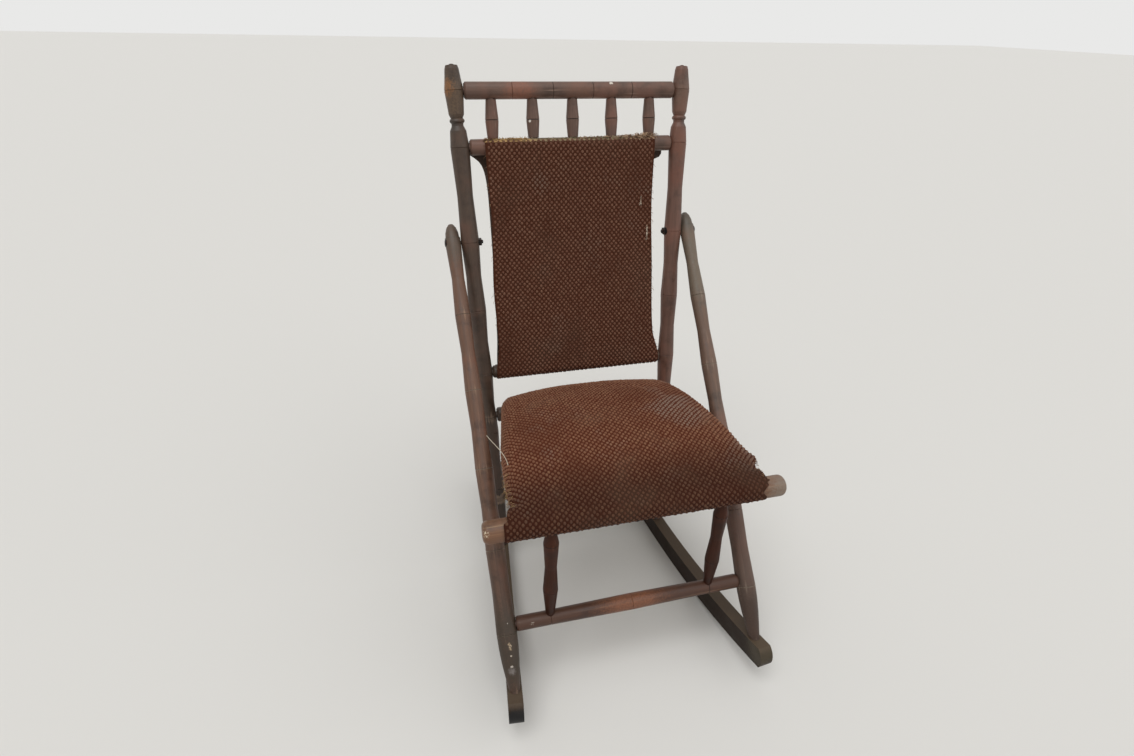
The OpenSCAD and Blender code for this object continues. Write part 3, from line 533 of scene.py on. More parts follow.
# %% Carpet loops
def wool_loops(name, deep, plain, light, dusty, soil, dust_spots):
    """Worsted wool, twisted and left uncut: matt, with a faint sheen from its fibres. Each loop has a
    shade by chance. A dust spot is a place and a radius in mm and an amount, below 0 where it is clean."""
    material, tree, shader = material_named(name)
    cloth = add(tree, "UVMap", uv_map="cloth")
    run = add(tree, "SeparateXYZ", {0: cloth}).outputs[1]
    place = add(tree, "TexCoord").outputs["Object"]
    chance = add(tree, "TexWhiteNoise", {"Vector": cloth}, noise_dimensions="2D")
    fibre = add(tree, "TexNoise", {"Vector": place, "Scale": 1 / FIBRE, "Detail": 2.0})
    # Painted shade: a large noise, stretched upright, darkens the wool in streaks that stand for the shade of
    # soft folds
    drawn = add(tree, "Mapping", {"Vector": place, "Scale": 1 / FOLD_SHADE_SIZE})
    fold_shade = add(tree, "TexNoise", {"Vector": drawn, "Scale": 1.0, "Detail": 3.0})
    dust = add(tree, "TexNoise", {"Vector": place, "Scale": 1 / WOOL_DUST, "Detail": 5.0, "Roughness": 0.65})
    for x, y, z, radius, amount in dust_spots:
        gap = add(tree, "VectorMath", {0: place, 1: (x * MM, y * MM, z * MM)}, operation="DISTANCE")
        near = add(tree, "MapRange", {0: gap, 1: radius * MM, 2: 0.0, 4: amount}, **SMOOTH)
        dust = add(tree, "Math", {0: dust, 1: near}, operation="ADD")
    colour = linear(plain)
    for share, over in (
            (chance, linear(light)),
            (add(tree, "MapRange", {0: fibre, 1: 0.62, 2: 0.35, 4: 0.7}), linear(deep)),
            (add(tree, "MapRange", {0: fold_shade, 1: 0.48, 2: 0.68, 4: 0.45}, **SMOOTH), linear(deep)),
            (add(tree, "MapRange", {0: dust, 1: 0.52, 2: 0.8, 4: 0.6}, **SMOOTH), linear(dusty)),
            (add(tree, "MapRange", {0: run, 1: soil[0], 2: soil[1], 3: soil[2], 4: 0.0}, **SMOOTH), GRIME)):
        colour = add(tree, "Mix", {0: share, 6: colour, 7: over}, data_type="RGBA")
    bump = add(tree, "Bump", {"Height": fibre, "Strength": 0.5, "Distance": 0.4 * MM})
    fill(tree, shader, {"Base Color": colour, "Roughness": 0.9, "Specular IOR Level": 0.2,
                        "Sheen Weight": 0.06, "Normal": bump})
    return material


# %% The carpet's four finishes
seat_ground = carpet_ground("seat carpet ground weave", "#522818", "#6A5442", SEAT_SOIL)
back_ground = carpet_ground("back carpet ground weave", "#482719", "#4A382C", BACK_SOIL, raw=True)
seat_wool = wool_loops("seat looped wool", "#5A321F", "#7A4E3A", "#926A50", "#84756A", SEAT_SOIL,
                       [(140, -50, 420, 90, 0.28), (190, -170, 400, 80, 0.25), (110, 40, 400, 50, 0.2),
                        (0, 80, 410, 160, -0.3)])
back_wool = wool_loops("back looped wool", "#4A2A1C", "#694536", "#805E4C", "#6E5A4E", BACK_SOIL,
                       [(-65, 205, 760, 30, 0.22), (142, 200, 735, 20, 0.22)])
print("carpet repeats", [round(size / MM, 1) for size in SEAT_REPEAT + BACK_REPEAT], "mm")

# %% [markdown]
# ## Loops on a surface
# A loop is a low dome on the cloth. Its place comes from the cloth's own measures, across and along,
# which are turned into a place on the surface by following the grid's rows. Scattered copies of one
# dome would do as well, but all of them worked out as one array make a single mesh that keeps to the
# lattice. Six sides and three rings are enough for a dome that is repeated thousands of times.

# %% Arc lengths and loops
def run_along(points, axis):
    """Distances run along one axis of a grid of points, from its first row or column."""
    steps = np.linalg.norm(np.diff(points, axis=axis), axis=-1)
    return np.concatenate([np.zeros_like(np.take(steps, [0], axis)), np.cumsum(steps, axis)], axis)


def unit(vectors):
    """Vectors at length one."""
    return vectors / np.linalg.norm(vectors, axis=-1, keepdims=True)


def ring_faces(count, rings, sides):
    """Corner numbers of equal stacks of rings: the walls, and caps on the first and the last ring."""
    ring = np.arange(sides)
    after = (ring + 1) % sides
    wall = np.stack([ring, after, after + sides, ring + sides], -1)
    first = np.arange(count)[:, None] * rings * sides
    walls = first[..., None] + (np.arange(rings - 1)[:, None, None] * sides + wall).reshape(-1, 4)
    last = first + (rings - 1) * sides
    return walls.reshape(-1, 4).tolist(), (first + ring[::-1]).tolist(), (last + ring).tolist()


DOME_ANGLES = (90, 52, 20)


def domes(centres, across, along, out, size_across, size_along, height, sides):
    """Low domes: rings at polar angles of DOME_ANGLES degrees, scaled along three directions."""
    polar = np.radians(DOME_ANGLES)[:, None]
    turn = np.linspace(0, 2 * math.pi, sides, endpoint=False)[None]
    a, b = np.sin(polar) * np.cos(turn), np.sin(polar) * np.sin(turn)
    shape = np.stack([a, b, np.broadcast_to(np.cos(polar), a.shape)], -1).reshape(1, -1, 3)
    scale = np.stack([size_across, size_along, height], -1)[:, None]
    points = centres[:, None] + (shape * scale) @ np.stack([across, along, out], 1)
    walls, _, tops = ring_faces(len(centres), len(DOME_ANGLES), sides)
    return points.reshape(-1, 3), walls + tops


# %% Loops all over a cloth
# A loop's sizes, how far it is out of place and sunk in, and the bare strip along the cloth's sides
LOOP_ACROSS, LOOP_ALONG, LOOP_TOP, LOOP_SIDES = 2.6 * MM, 3.1 * MM, 1.9 * MM, 6
LOOP_ASTRAY, LOOP_SUNK, SELVEDGE = 0.3 * MM, 0.3 * MM, 2.4 * MM


def on_cloth(points, width, run, across, along):
    """Points and their frames at places of the cloth, by straight lines between the grid's points."""
    rows = np.interp(along, run, np.arange(len(run)))
    i = np.clip(rows.astype(int), 0, len(run) - 2)
    f = (rows - i)[:, None]
    widths = width[i] * (1 - f) + width[i + 1] * f
    j = np.clip((widths <= across[:, None]).sum(1) - 1, 0, width.shape[1] - 2)
    each = np.arange(len(j))
    g = ((across - widths[each, j]) / (widths[each, j + 1] - widths[each, j]))[:, None]
    p00, p01, p10, p11 = points[i, j], points[i, j + 1], points[i + 1, j], points[i + 1, j + 1]
    place = (p00 * (1 - g) + p01 * g) * (1 - f) + (p10 * (1 - g) + p11 * g) * f
    x = unit((p01 - p00) * (1 - f) + (p11 - p10) * f)
    out = unit(np.cross(x, (p10 - p00) * (1 - g) + (p11 - p01) * g))
    inside = (across > widths.min(1) + SELVEDGE) & (across < widths.max(1) - SELVEDGE)
    return place[inside], x[inside], out[inside], inside


def loops_on(name, points, width, run, repeat, material, slot, seed, side=1, margin=3 * MM):
    """Domes at m a / 2 across and n b / 2 along wherever m + n is even, each a little out of place."""
    rng, (a, b) = np.random.default_rng(seed), repeat
    m = np.arange(math.ceil(2 * width.min() / a), math.floor(2 * width.max() / a) + 1)
    n = np.arange(math.ceil(2 * margin / b), math.floor(2 * (run[-1] - margin) / b) + 1)
    m, n = (g.ravel() for g in np.meshgrid(m, n))
    even = (m + n) % 2 == 0
    across = m[even] * a / 2 + rng.normal(0, LOOP_ASTRAY, even.sum())
    along = n[even] * b / 2 + rng.normal(0, LOOP_ASTRAY, even.sum())
    along = np.clip(along, 0.5 * margin, run[-1] - 0.5 * margin)
    place, x, out, inside = on_cloth(points, width, run, across, along)
    out, count = out * side, len(place)
    solid, faces = domes(place - LOOP_SUNK * out, x, np.cross(out, x), out,
                         rng.normal(LOOP_ACROSS, 0.15 * MM, count), rng.normal(LOOP_ALONG, 0.2 * MM, count),
                         LOOP_TOP * rng.uniform(0.75, 1.1, count), LOOP_SIDES)
    uv = np.stack([across[inside], along[inside]], -1)
    print(name, "has", count, "loops")
    return new_piece(name, solid, faces, material, np.repeat(uv, len(DOME_ANGLES) * LOOP_SIDES, 0), slot)


# %% Rows and measures of a cloth
def stages(first, middle, last):
    """Rows of a cloth, numbers of them in three stages: from 0 to 1, from 1 to 2, and from 2 to 3."""
    return np.concatenate([np.linspace(0, 1, first, endpoint=False),
                           np.linspace(1, 2, middle, endpoint=False), np.linspace(2, 3, last)])


def measured(points):
    """How far the middle column runs, how far out from it each point lies, and both as its UV."""
    middle = points.shape[1] // 2
    run, width = run_along(points, 0)[:, middle], run_along(points, 1)
    width = width - width[:, [middle]]
    return run, width, np.stack([width, np.broadcast_to(run[:, None], width.shape)], -1)


# %% [markdown]
# ## The seat
# The seat is a stuffed pad under carpet. The carpet starts under the front rail, comes up round it,
# crosses the stuffing, and goes down round the rear rail. It could be sculpted from a box, but a
# formula that starts at the rails fits them exactly. It is one surface of two parameters: u runs
# across and v from front to rear, in three stages. The rails' places and radii come from the frame.

# %% Seat measures from the frame
def rail_of(node):
    """Y and Z of a rail's axis and its radius, from its box."""
    low, high = (np.array(corner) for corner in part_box(node))
    return (low + high)[1:] / 2, (high - low)[2] / 2


# Thicknesses, the gap over the rails, and how much thinner a wall is, so that no two faces meet
CARPET_T, LOOP_H, WEB_T = 3.2 * MM, 1.6 * MM, 1.8 * MM
COVER_GAP, CLEAR = 2 * MM, 0.2 * MM
(front_yz, front_r), (rear_yz, rear_r) = rail_of("front_seat_rail"), rail_of("rear_seat_rail")
front_wrap_r, rear_wrap_r = front_r + COVER_GAP + CARPET_T, rear_r + COVER_GAP + CARPET_T
span, step = np.linalg.norm(rear_yz - front_yz), front_r - rear_r
seat_len = math.sqrt(span ** 2 - step ** 2)
tilt = math.atan2(front_yz[1] - rear_yz[1], rear_yz[0] - front_yz[0]) + math.asin(step / span)
print("seat", round(seat_len, 3), "m deep, tilted", round(math.degrees(tilt), 1), "degrees")

# %% Seat measures fitted to the photograph
# Half widths, the crown, the sides' bulge and roll, how far the cloth goes round each rail and rises
# from it in degrees, where the sides are flat and rolled, and where the rolling fades in and out.
# The last row is how far the left edge reaches over the rail and is pulled in behind the arm, and how
# far the right one stands out by its tear and is drawn in at the rear.
FRONT_HALF, REAR_HALF, SIDE_BULGE, BULGE_POWER = 206 * MM, 160 * MM, 13 * MM, 0.65
CROWN_H, SIDE_ROLL, SKIRT_H, SIDE_FALL = 65 * MM, 24 * MM, 6.7 * MM, 0.4
FRONT_WRAP, REAR_WRAP, FRONT_RISE, REAR_RISE, REAR_CROWN = 136, 130, 27, 74, 1.46
FLAT_SHARE, ROLL_SHARE = 0.8, 0.93
FRONT_HOLD, FRONT_FADE, REAR_HOLD, REAR_FADE = 0.05, 0.1, 0.03, 0.13
OVER_RAIL, BEHIND_ARM, BY_TEAR, BY_REAR = 8 * MM, 13 * MM, 7 * MM, 4 * MM


# %% Blends and curves
def mix(a, b, t):
    """a + (b - a) t."""
    return a + (b - a) * t


def ease(t):
    """Smooth step from 0 to 1: 3 t^2 - 2 t^3."""
    t = np.clip(t, 0, 1)
    return t * t * (3 - 2 * t)


def bezier(t, a, b, c, d):
    """Cubic Bezier curve: (1 - t)^3 a + 3 (1 - t)^2 t b + 3 (1 - t) t^2 c + t^3 d."""
    k = 1 - t
    return k ** 3 * a + 3 * k * k * t * b + 3 * k * t * t * c + t ** 3 * d


def bell(x, middle, width):
    """exp(-((x - middle) / width)^2)."""
    return np.exp(-((x - middle) / width) ** 2)


# %% Side view of the seat
def seat_section(u, v, depth):
    """Side view: an arc round the front rail, a Bezier curve over the pad, an arc round the rear rail.
    Handles at a height h lift the middle of such a curve by 0.75 h."""
    share = 1 - SIDE_FALL * np.abs(u) ** 3
    rise, fall = np.radians(FRONT_RISE * share), np.radians(REAR_RISE * share)
    lift = CROWN_H * share / 0.75
    a = front_wrap_r * np.stack([-np.sin(rise), np.cos(rise)])
    d = np.stack([seat_len + rear_wrap_r * np.sin(fall), step + rear_wrap_r * np.cos(fall)])
    b = a + lift * (2 - REAR_CROWN) * np.stack([1 / np.tan(rise), np.ones_like(rise)])
    c = d + lift * REAR_CROWN * np.stack([-1 / np.tan(fall), np.ones_like(fall)])
    t = np.clip(v - 1, 0, 1)
    k = 1 - t
    slope = unit((3 * k * k * (b - a) + 6 * k * t * (c - b) + 3 * t * t * (d - c)).T).T
    over_pad = bezier(t, a, b, c, d) - depth * np.stack([-slope[1], slope[0]])
    front_a = -mix(math.radians(FRONT_WRAP), rise, np.clip(v, 0, 1))
    front = front_wrap_r - WEB_T * np.clip(1 - v, 0, 1) - depth
    rear_a = mix(fall, math.radians(REAR_WRAP), np.clip(v - 2, 0, 1))
    rear = rear_wrap_r - WEB_T * np.clip(v - 2, 0, 1) - depth
    over_front = front * np.stack([np.sin(front_a), np.cos(front_a)])
    over_rear = np.stack([seat_len + rear * np.sin(rear_a), step + rear * np.cos(rear_a)])
    return np.where(v < 1, over_front, np.where(v > 2, over_rear, over_pad))


# %% The seat's surface from its side view
def left_fit(v):
    """How far the left edge stands out: it reaches over the rail's end, and is pulled in behind the arm."""
    t = np.clip(v - 1, 0, 1)
    pulled = ease(t / 0.12) * (1 - 0.4 * ease((t - 0.65) / 0.35))
    return OVER_RAIL * ease((1.0 - v) / 0.15) - BEHIND_ARM * pulled


def right_fit(t):
    """How far the right edge stands out: a little more near its torn corner, and less at the rear."""
    return BY_TEAR * bell(t, 0.26, 0.15) - BY_REAR * bell(t, 0.75, 0.2)


def seat_skin(u, v, depth):
    """The seat in its own level. Its sides roll down by a quarter circle and a skirt between the rails."""
    w, t = np.abs(u), np.clip(v - 1, 0, 1)
    fade = ease(np.minimum((v - 1 - FRONT_HOLD) / FRONT_FADE, (2 - v - REAR_HOLD) / REAR_FADE))
    half = mix(FRONT_HALF, REAR_HALF, t) + SIDE_BULGE * np.sin(np.pi * t ** BULGE_POWER)
    bend_r = SIDE_ROLL - depth
    roll = np.radians(90 * np.clip((w - FLAT_SHARE) / (ROLL_SHARE - FLAT_SHARE), 0, 1))
    skirt = np.clip((w - ROLL_SHARE) / (1 - ROLL_SHARE), 0, None)
    edge = np.where(w < FLAT_SHARE, w / FLAT_SHARE * mix(half * FLAT_SHARE, half - SIDE_ROLL, fade),
                    mix(half * w, half - SIDE_ROLL + bend_r * np.sin(roll), fade))
    edge = edge + w * w * np.where(u < 0, left_fit(v), right_fit(t))
    s, h = seat_section(u, v, depth)
    drop = bend_r * (1 - np.cos(roll)) + skirt * np.clip(h - bend_r - SKIRT_H, 0, None)
    return np.stack([np.sign(u) * edge, s, h - fade * drop], -1)


def to_chair(points):
    """From the seat's own level to the chair's: turned by the seat's tilt about the front rail."""
    x, s, h = np.moveaxis(points, -1, 0)
    return np.stack([x, front_yz[0] + s * math.cos(tilt) + h * math.sin(tilt),
                     front_yz[1] - s * math.sin(tilt) + h * math.cos(tilt)], -1)


# %% [markdown]
# Cloth simulation lets the cover swell a little over the stuffing and pull tight towards its nailed
# edges. The edges are pinned and the pressure pushes out like packed hair. No point may sink into
# the stuffing or move more than a few millimetres.

# %% Seat cover: surface and simulation
# The cap on a point's move, the pressure, the frames, and from where in v and u the edges are nailed
MAX_MOVE, PRESSURE, FRAMES = 5 * MM, 10.0, 20
FRONT_NAILED, REAR_NAILED, SIDE_NAILED = 1.03, 1.98, 0.985
U, V = np.meshgrid(np.linspace(-1, 1, 121), stages(24, 100, 20))


def outward(points):
    """Unit normals of a grid of points, from its steps along the rows and down the columns."""
    return unit(np.cross(np.gradient(points, axis=1), np.gradient(points, axis=0)))


def swell(points, pinned):
    """Runs Blender's cloth on a copy of the grid. Its points come back moved out by MAX_MOVE at most."""
    mesh = bpy.data.meshes.new("trial cover")
    mesh.from_pydata(points.reshape(-1, 3).tolist(), [], quads_between(*points.shape[:2]).tolist())
    trial = bpy.data.objects.new("trial cover", mesh)
    bpy.context.scene.collection.objects.link(trial)
    group = trial.vertex_groups.new(name="nailed")
    group.add(np.flatnonzero(pinned.ravel()).tolist(), 1.0, "REPLACE")
    cloth = trial.modifiers.new("cloth", "CLOTH").settings
    cloth.vertex_group_mass = "nailed"
    cloth.quality, cloth.mass = 6, 0.4
    cloth.tension_stiffness = cloth.compression_stiffness = 12
    cloth.shear_stiffness, cloth.bending_stiffness = 10, 4
    cloth.use_pressure, cloth.uniform_pressure_force = True, PRESSURE
    cloth.effector_weights.gravity = 0
    scene = bpy.context.scene
    for number in range(1, FRAMES + 1):
        scene.frame_set(number)
    settled = trial.evaluated_get(bpy.context.evaluated_depsgraph_get()).to_mesh()
    moved = np.empty(len(settled.vertices) * 3)
    settled.vertices.foreach_get("co", moved)
    scene.frame_set(1)
    bpy.data.objects.remove(trial)
    shift, out = moved.reshape(points.shape) - points, outward(points)
    shift = shift + np.maximum(-(shift * out).sum(-1, keepdims=True), 0) * out
    size = np.linalg.norm(shift, axis=-1, keepdims=True)
    print("cover moved up to", round(float(size.max()) / MM, 1), "mm before the cap")
    return points + shift * np.minimum(1, MAX_MOVE / np.maximum(size, 1e-9))


cover = to_chair(seat_skin(U, V, LOOP_H))
nailed = (V < FRONT_NAILED) | (V > REAR_NAILED) | (np.abs(U) > SIDE_NAILED)
cover = swell(cover, nailed)

# %% [markdown]
# Use has left marks that no simulation gives: shallow hollows where people sat, stuffing that has slid
# to the rear, and a torn, curled edge at the right front corner.

# %% Seat cover: dents and the torn corner
# Dents as rows of u, v, a width along each and a depth in mm, and the torn edge as rows of how far it
# stands out in mm, v and a width
DENTS = [(-0.25, 1.45, 0.5, 0.3, 2.5), (0.45, 1.7, 0.3, 0.2, 1.8), (0.1, 1.25, 0.35, 0.12, 1.5),
         (-0.7, 1.6, 0.15, 0.3, 2)]
RAGS = [(8, 0.96, 0.05), (3, 0.78, 0.08), (6, 1.12, 0.035), (-3, 1.07, 0.02), (-8, 0.5, 0.16)]
CURL, RIPPLE = 14 * MM, 0.5 * MM
lower = sum(depth * MM * bell(U, u, wide) * bell(V, v, long) for u, v, wide, long, depth in DENTS)
ripple = RIPPLE * np.sin(9 * U + 5 * V) * np.sin(7 * V - 3 * U)
fuller = (2.4 + 1.2 * U) * MM * bell(V, 1.86, 0.14)
curl = CURL * bell(V, 1.2, 0.045) * ease((U - 0.86) / 0.12)
rag = sum(out * MM * bell(V, v, width) for out, v, width in RAGS) * ease((U - 0.88) / 0.1)
cover[..., 2] += np.where(nailed, 0, ripple) - lower + fuller + 0.6 * curl
cover[..., 0] += curl + rag
cover_run, cover_width, cover_uv = measured(cover)
seat = new_piece("seat_cover", cover, quads_between(*U.shape), seat_ground, cover_uv, "seat_carpet")
thicken(seat, CARPET_T - LOOP_H - CLEAR)
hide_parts("seat_carpet")
loops_on("seat_loops", cover, cover_width, cover_run, SEAT_REPEAT, seat_wool, "seat_carpet", seed=4)
print("seat cover", round(2 * float(cover_width.max()), 3), "m by", round(float(cover_run[-1]), 3), "m")

# %% [markdown]
# ## The back
# The back is one width of the same carpet. It is nailed over the upper back rail, hangs to the lower
# rail and goes round it. Years of leaning have made it sag, with faint upright folds low down. Its
# upper right corner was cut a little narrow. It could be simulated like the seat, but it is taut, so a
# formula with a sag and folds is quicker and follows the photograph more closely.

# %% Back cover
(upper_yz, upper_r), (lower_yz, lower_r) = rail_of("upper_back_rail"), rail_of("lower_back_rail")
upper_wrap_r, lower_wrap_r = upper_r + CLEAR + CARPET_T, lower_r + CLEAR + CARPET_T
back_vec = upper_yz - lower_yz
back_len = np.linalg.norm(back_vec)
back_face = math.atan2(back_vec[0], back_vec[1]) + math.asin((lower_wrap_r - upper_wrap_r) / back_len)
# Half the width, how far the sides draw in, the narrow cut, the sag, the folds, and the two wraps
BACK_HALF, BACK_WAIST, BACK_TRIM = 157 * MM, 3 * MM, 9 * MM
SAG, FOLD_H = 11 * MM, 3.6 * MM
TOP_EDGE, FOOT_WRAP = math.radians(52), math.radians(235)


def facing(angle):
    """Unit direction in Y and Z, from the front upwards."""
    return np.stack([-np.cos(angle), np.sin(angle)])


def back_skin(u, v):
    """Side view: an arc over the upper rail, a sagging straight, an arc round the lower rail."""
    t = np.clip(v - 1, 0, 1)
    hang = np.sin(np.pi * t)
    x = u * (BACK_HALF - BACK_WAIST * hang) - np.maximum(u, 0) * BACK_TRIM * (1 - t)
    corners = (5.5 * u + 2) * MM * ease((t - 0.86) / 0.12)
    drawn_in = (u < 0) * 3 * MM * (bell(t, 0.6, 0.25) + ease((t - 0.9) / 0.08))
    x = x + (1.2 * MM * np.sin(11 * t + 2 * u) + corners - drawn_in) * u ** 8
    sag = SAG * hang * (1 - 0.35 * u * u) + FOLD_H * hang * t * np.sin(np.radians(400 * u + 60))
    plain = facing(np.full_like(u, back_face))
    upper, lower = upper_yz[:, None, None], lower_yz[:, None, None]
    upper_out, lower_out = upper_wrap_r - LOOP_H, lower_wrap_r - LOOP_H
    a, b = upper + upper_out * plain, lower + lower_out * plain
    top = upper + upper_out * facing(back_face + TOP_EDGE * np.clip(1 - v, 0, 1))
    foot = lower + lower_out * facing(back_face - FOOT_WRAP * np.clip(v - 2, 0, 1))
    y, z = np.where(v < 1, top, np.where(v > 2, foot, a + (b - a) * t - sag * plain))
    return np.stack([x, y, z], -1)


BU, BV = np.meshgrid(np.linspace(-1, 1, 91), stages(8, 90, 26))
hanging = back_skin(BU, BV)
back_run, back_width, back_uv = measured(hanging)
back = new_piece("back_cover", hanging, quads_between(*BU.shape)[:, ::-1], back_ground, back_uv,
                 "back_carpet")
thicken(back, CARPET_T - LOOP_H - CLEAR)
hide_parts("back_carpet")
back_loops = loops_on("back_loops", hanging, back_width, back_run, BACK_REPEAT, back_wool, "back_carpet",
                      seed=9, side=-1, margin=4.5 * MM)
print("back cover", round(2 * BACK_HALF, 3), "by", round(float(back_run[-1]), 3), "m")

# %% [markdown]
# ## Loose yarn
# The carpet's cut edges have frayed. The tan jute of its warp stands up along the top of the back, and
# wisps hang at the sides of the seat. Blender's hair could draw them, but mesh tubes have a real
# thickness and need no hair settings. Each yarn is a thin three-sided tube along a curve that leaves
# its root in one direction, droops under its weight and curls.

# %% Yarn material
def jute_yarn(name, dull, fresh):
    """Spun jute or wool. Dry fibres twisted together are matt, in two tones that change along them, and
    the twist shows as fine bumps."""
    material, tree, shader = material_named(name)
    place = add(tree, "TexCoord").outputs["Object"]
    shades = add(tree, "TexNoise", {"Vector": place, "Scale": 1 / (12 * MM), "Detail": 3.0})
    mixed = add(tree, "MapRange", {0: shades, 1: 0.4, 2: 0.62})
    colour = add(tree, "Mix", {0: mixed, 6: linear(dull), 7: linear(fresh)}, data_type="RGBA")
    twist = add(tree, "TexNoise", {"Vector": place, "Scale": 1 / (1.2 * MM), "Detail": 2.0})
    ply = add(tree, "Bump", {"Height": twist, "Strength": 0.4, "Distance": 0.3 * MM})
    fill(tree, shader, {"Base Color": colour, "Roughness": 0.9, "Normal": ply})
    return material


golden = jute_yarn("frayed golden jute", "#8F7048", "#C2A272")
greyed = jute_yarn("frayed greyed jute", "#6E6249", "#A09176")
tan = jute_yarn("frayed tan jute", "#7E624C", "#BFA184")
brown = jute_yarn("frayed brown wool", "#5A3C2C", "#A07A58")
bleached = jute_yarn("bleached yarn ends", "#B09A84", "#DCCDBA")


# %% Tubes
YARN_RINGS, YARN_SIDES = 6, 3


def tube(line, aside, radius, sides):
    """Rings round a line: radius (a cos turn + b sin turn), where a and b are square to the line."""
    way = unit(np.gradient(line, axis=-2))
    a = unit(np.cross(way, aside))
    b = np.cross(way, a)
    turn = np.linspace(0, 2 * math.pi, sides, endpoint=False)[:, None]
    return line[..., None, :] + radius * (a[..., None, :] * np.cos(turn) + b[..., None, :] * np.sin(turn))


def yarns(name, roots, ways, length, droop, radius, seed, slot, material):
    """Tubes along root + way L t - droop L t^2 upwards + sideways curls, tapering to half their radius."""
    rng = np.random.default_rng(seed)
    count, t = len(roots), np.linspace(0, 1, YARN_RINGS)[None, :, None]
    lengths = (length * rng.uniform(0.35, 1.0, count))[:, None, None]
    side = unit(np.cross(unit(ways), rng.normal(size=(count, 3))))[:, None]
    other = unit(np.cross(side[:, 0], ways))[:, None]
    phase = rng.uniform(0, 2 * math.pi, (count, 1, 1))
    curl = side * np.sin(5 * t + phase) + other * np.cos(4 * t + 2 * phase)
    bend = 0.22 * t * curl - droop * t * t * np.array([0, 0, 1])
    line = roots[:, None] + lengths * (unit(ways)[:, None] * t + bend)
    points = tube(line, side + 0.01, radius * (1 - 0.5 * t[..., None]), YARN_SIDES)
    walls, low_caps, high_caps = ring_faces(count, YARN_RINGS, YARN_SIDES)
    return new_piece(name, points, walls + low_caps + high_caps, material, slot=slot)


# %% Frayed top edge of the back
def top_fray(name, low, high, count, length, lift, seed, material):
    """Yarns standing on the back's cut top edge between two places across it."""
    rng = np.random.default_rng(seed)
    y, z = upper_yz + (upper_wrap_r - 0.6 * CARPET_T) * facing(back_face + TOP_EDGE * 0.96)
    x = rng.uniform(low, high, count)
    roots = np.stack([x, y + rng.normal(0, 1.3 * MM, count), z + rng.normal(0, 0.7 * MM, count)], -1)
    ways = np.stack([rng.normal(0, 0.9, count), rng.uniform(-0.6, 0.5, count),
                     rng.uniform(0.0, 1.0, count) * lift], -1)
    return yarns(name, roots, ways, length, 0.4, 0.55 * MM, seed, "back_carpet", material)


frays = [top_fray("back_fray_left", -0.158, -0.085, 260, 8 * MM, 0.8, 3, golden),
         top_fray("back_fray_middle", -0.09, 0.09, 260, 6 * MM, 0.6, 4, greyed),
         top_fray("back_fray_tan", 0.0, 0.1, 220, 8 * MM, 0.9, 6, tan),
         top_fray("back_fray_right", 0.085, 0.146, 300, 15 * MM, 1.2, 7, tan),
         top_fray("back_fray_corner", -0.158, -0.148, 45, 11 * MM, 0.7, 11, brown)]

# %% Frayed sides of the back and the seat
# Yarns at the back's sides, the seat's sides, its torn corner, its left edge and in each tuft, and the
# places of the tufts
SIDE_N, EDGE_N, TORN_N, LEFT_N, TUFT_N = 90, 120, 70, 80, 12
TUFTS = np.array([(126, 200, 718), (139, 200, 668), (139, 200, 652)]) * MM


def sideways(left):
    """A level direction out of a cloth: to the left where that is true, and to the right elsewhere."""
    return np.where(left, -1, 1)[:, None] * np.array([1.0, 0, 0])


rng = np.random.default_rng(12)
rows, columns = rng.integers(6, 98, SIDE_N), np.where(rng.random(SIDE_N) < 0.5, 0, -1)
ways = sideways(columns == 0) + rng.normal(0, 0.5, (SIDE_N, 3)) + [0, 0, -0.8]
frays.append(yarns("back_fray_sides", hanging[rows, columns], ways, 6 * MM, 0.4, 0.35 * MM, 5,
                   "back_carpet", brown))
rows = np.concatenate([rng.integers(24, 70, EDGE_N), rng.integers(26, 46, TORN_N)])
columns = np.concatenate([np.where(rng.random(EDGE_N) < 0.6, 1, -2), np.full(TORN_N, -2)])
ways = sideways(columns == 1) * 0.8 + rng.normal(0, 0.5, (len(rows), 3)) + [0, 0, -0.4]
yarns("seat_fray_sides", cover[rows, columns], ways, 8 * MM, 0.5, 0.4 * MM, 8, "seat_carpet", brown)
rows, columns = rng.integers(34, 52, LEFT_N), rng.integers(3, 9, LEFT_N)
ways = rng.normal(0, 0.6, (LEFT_N, 3)) + [-0.6, -0.3, 0.1]
yarns("seat_fray_left", cover[rows, columns], ways, 7 * MM, 0.5, 0.45 * MM, 10, "seat_carpet", golden)

# Small bleached tufts near the back's right edge, each from the cloth's nearest point
skin = hanging.reshape(-1, 3)
roots = np.repeat(skin[((skin - TUFTS[:, None]) ** 2).sum(-1).argmin(1)], TUFT_N, axis=0)
roots = roots + rng.normal(0, 1.0 * MM, roots.shape) * [0.5, 0, 3.5] - [0, 1.5 * MM, 0]
ways = rng.normal(0, 0.2, roots.shape) + [0, -0.4, -1.0]
frays.append(yarns("back_tufts", roots, ways, 6 * MM, 0.4, 0.45 * MM, 14, "back_carpet", bleached))
print("loose yarns in", len(frays), "groups on the back and 2 on the seat")

# %% [markdown]
# One long pale thread hangs free from the left arm down to the seat's left edge. It is a tube along a
# cubic Bezier curve through four control points, which start and end it and draw it sideways between.

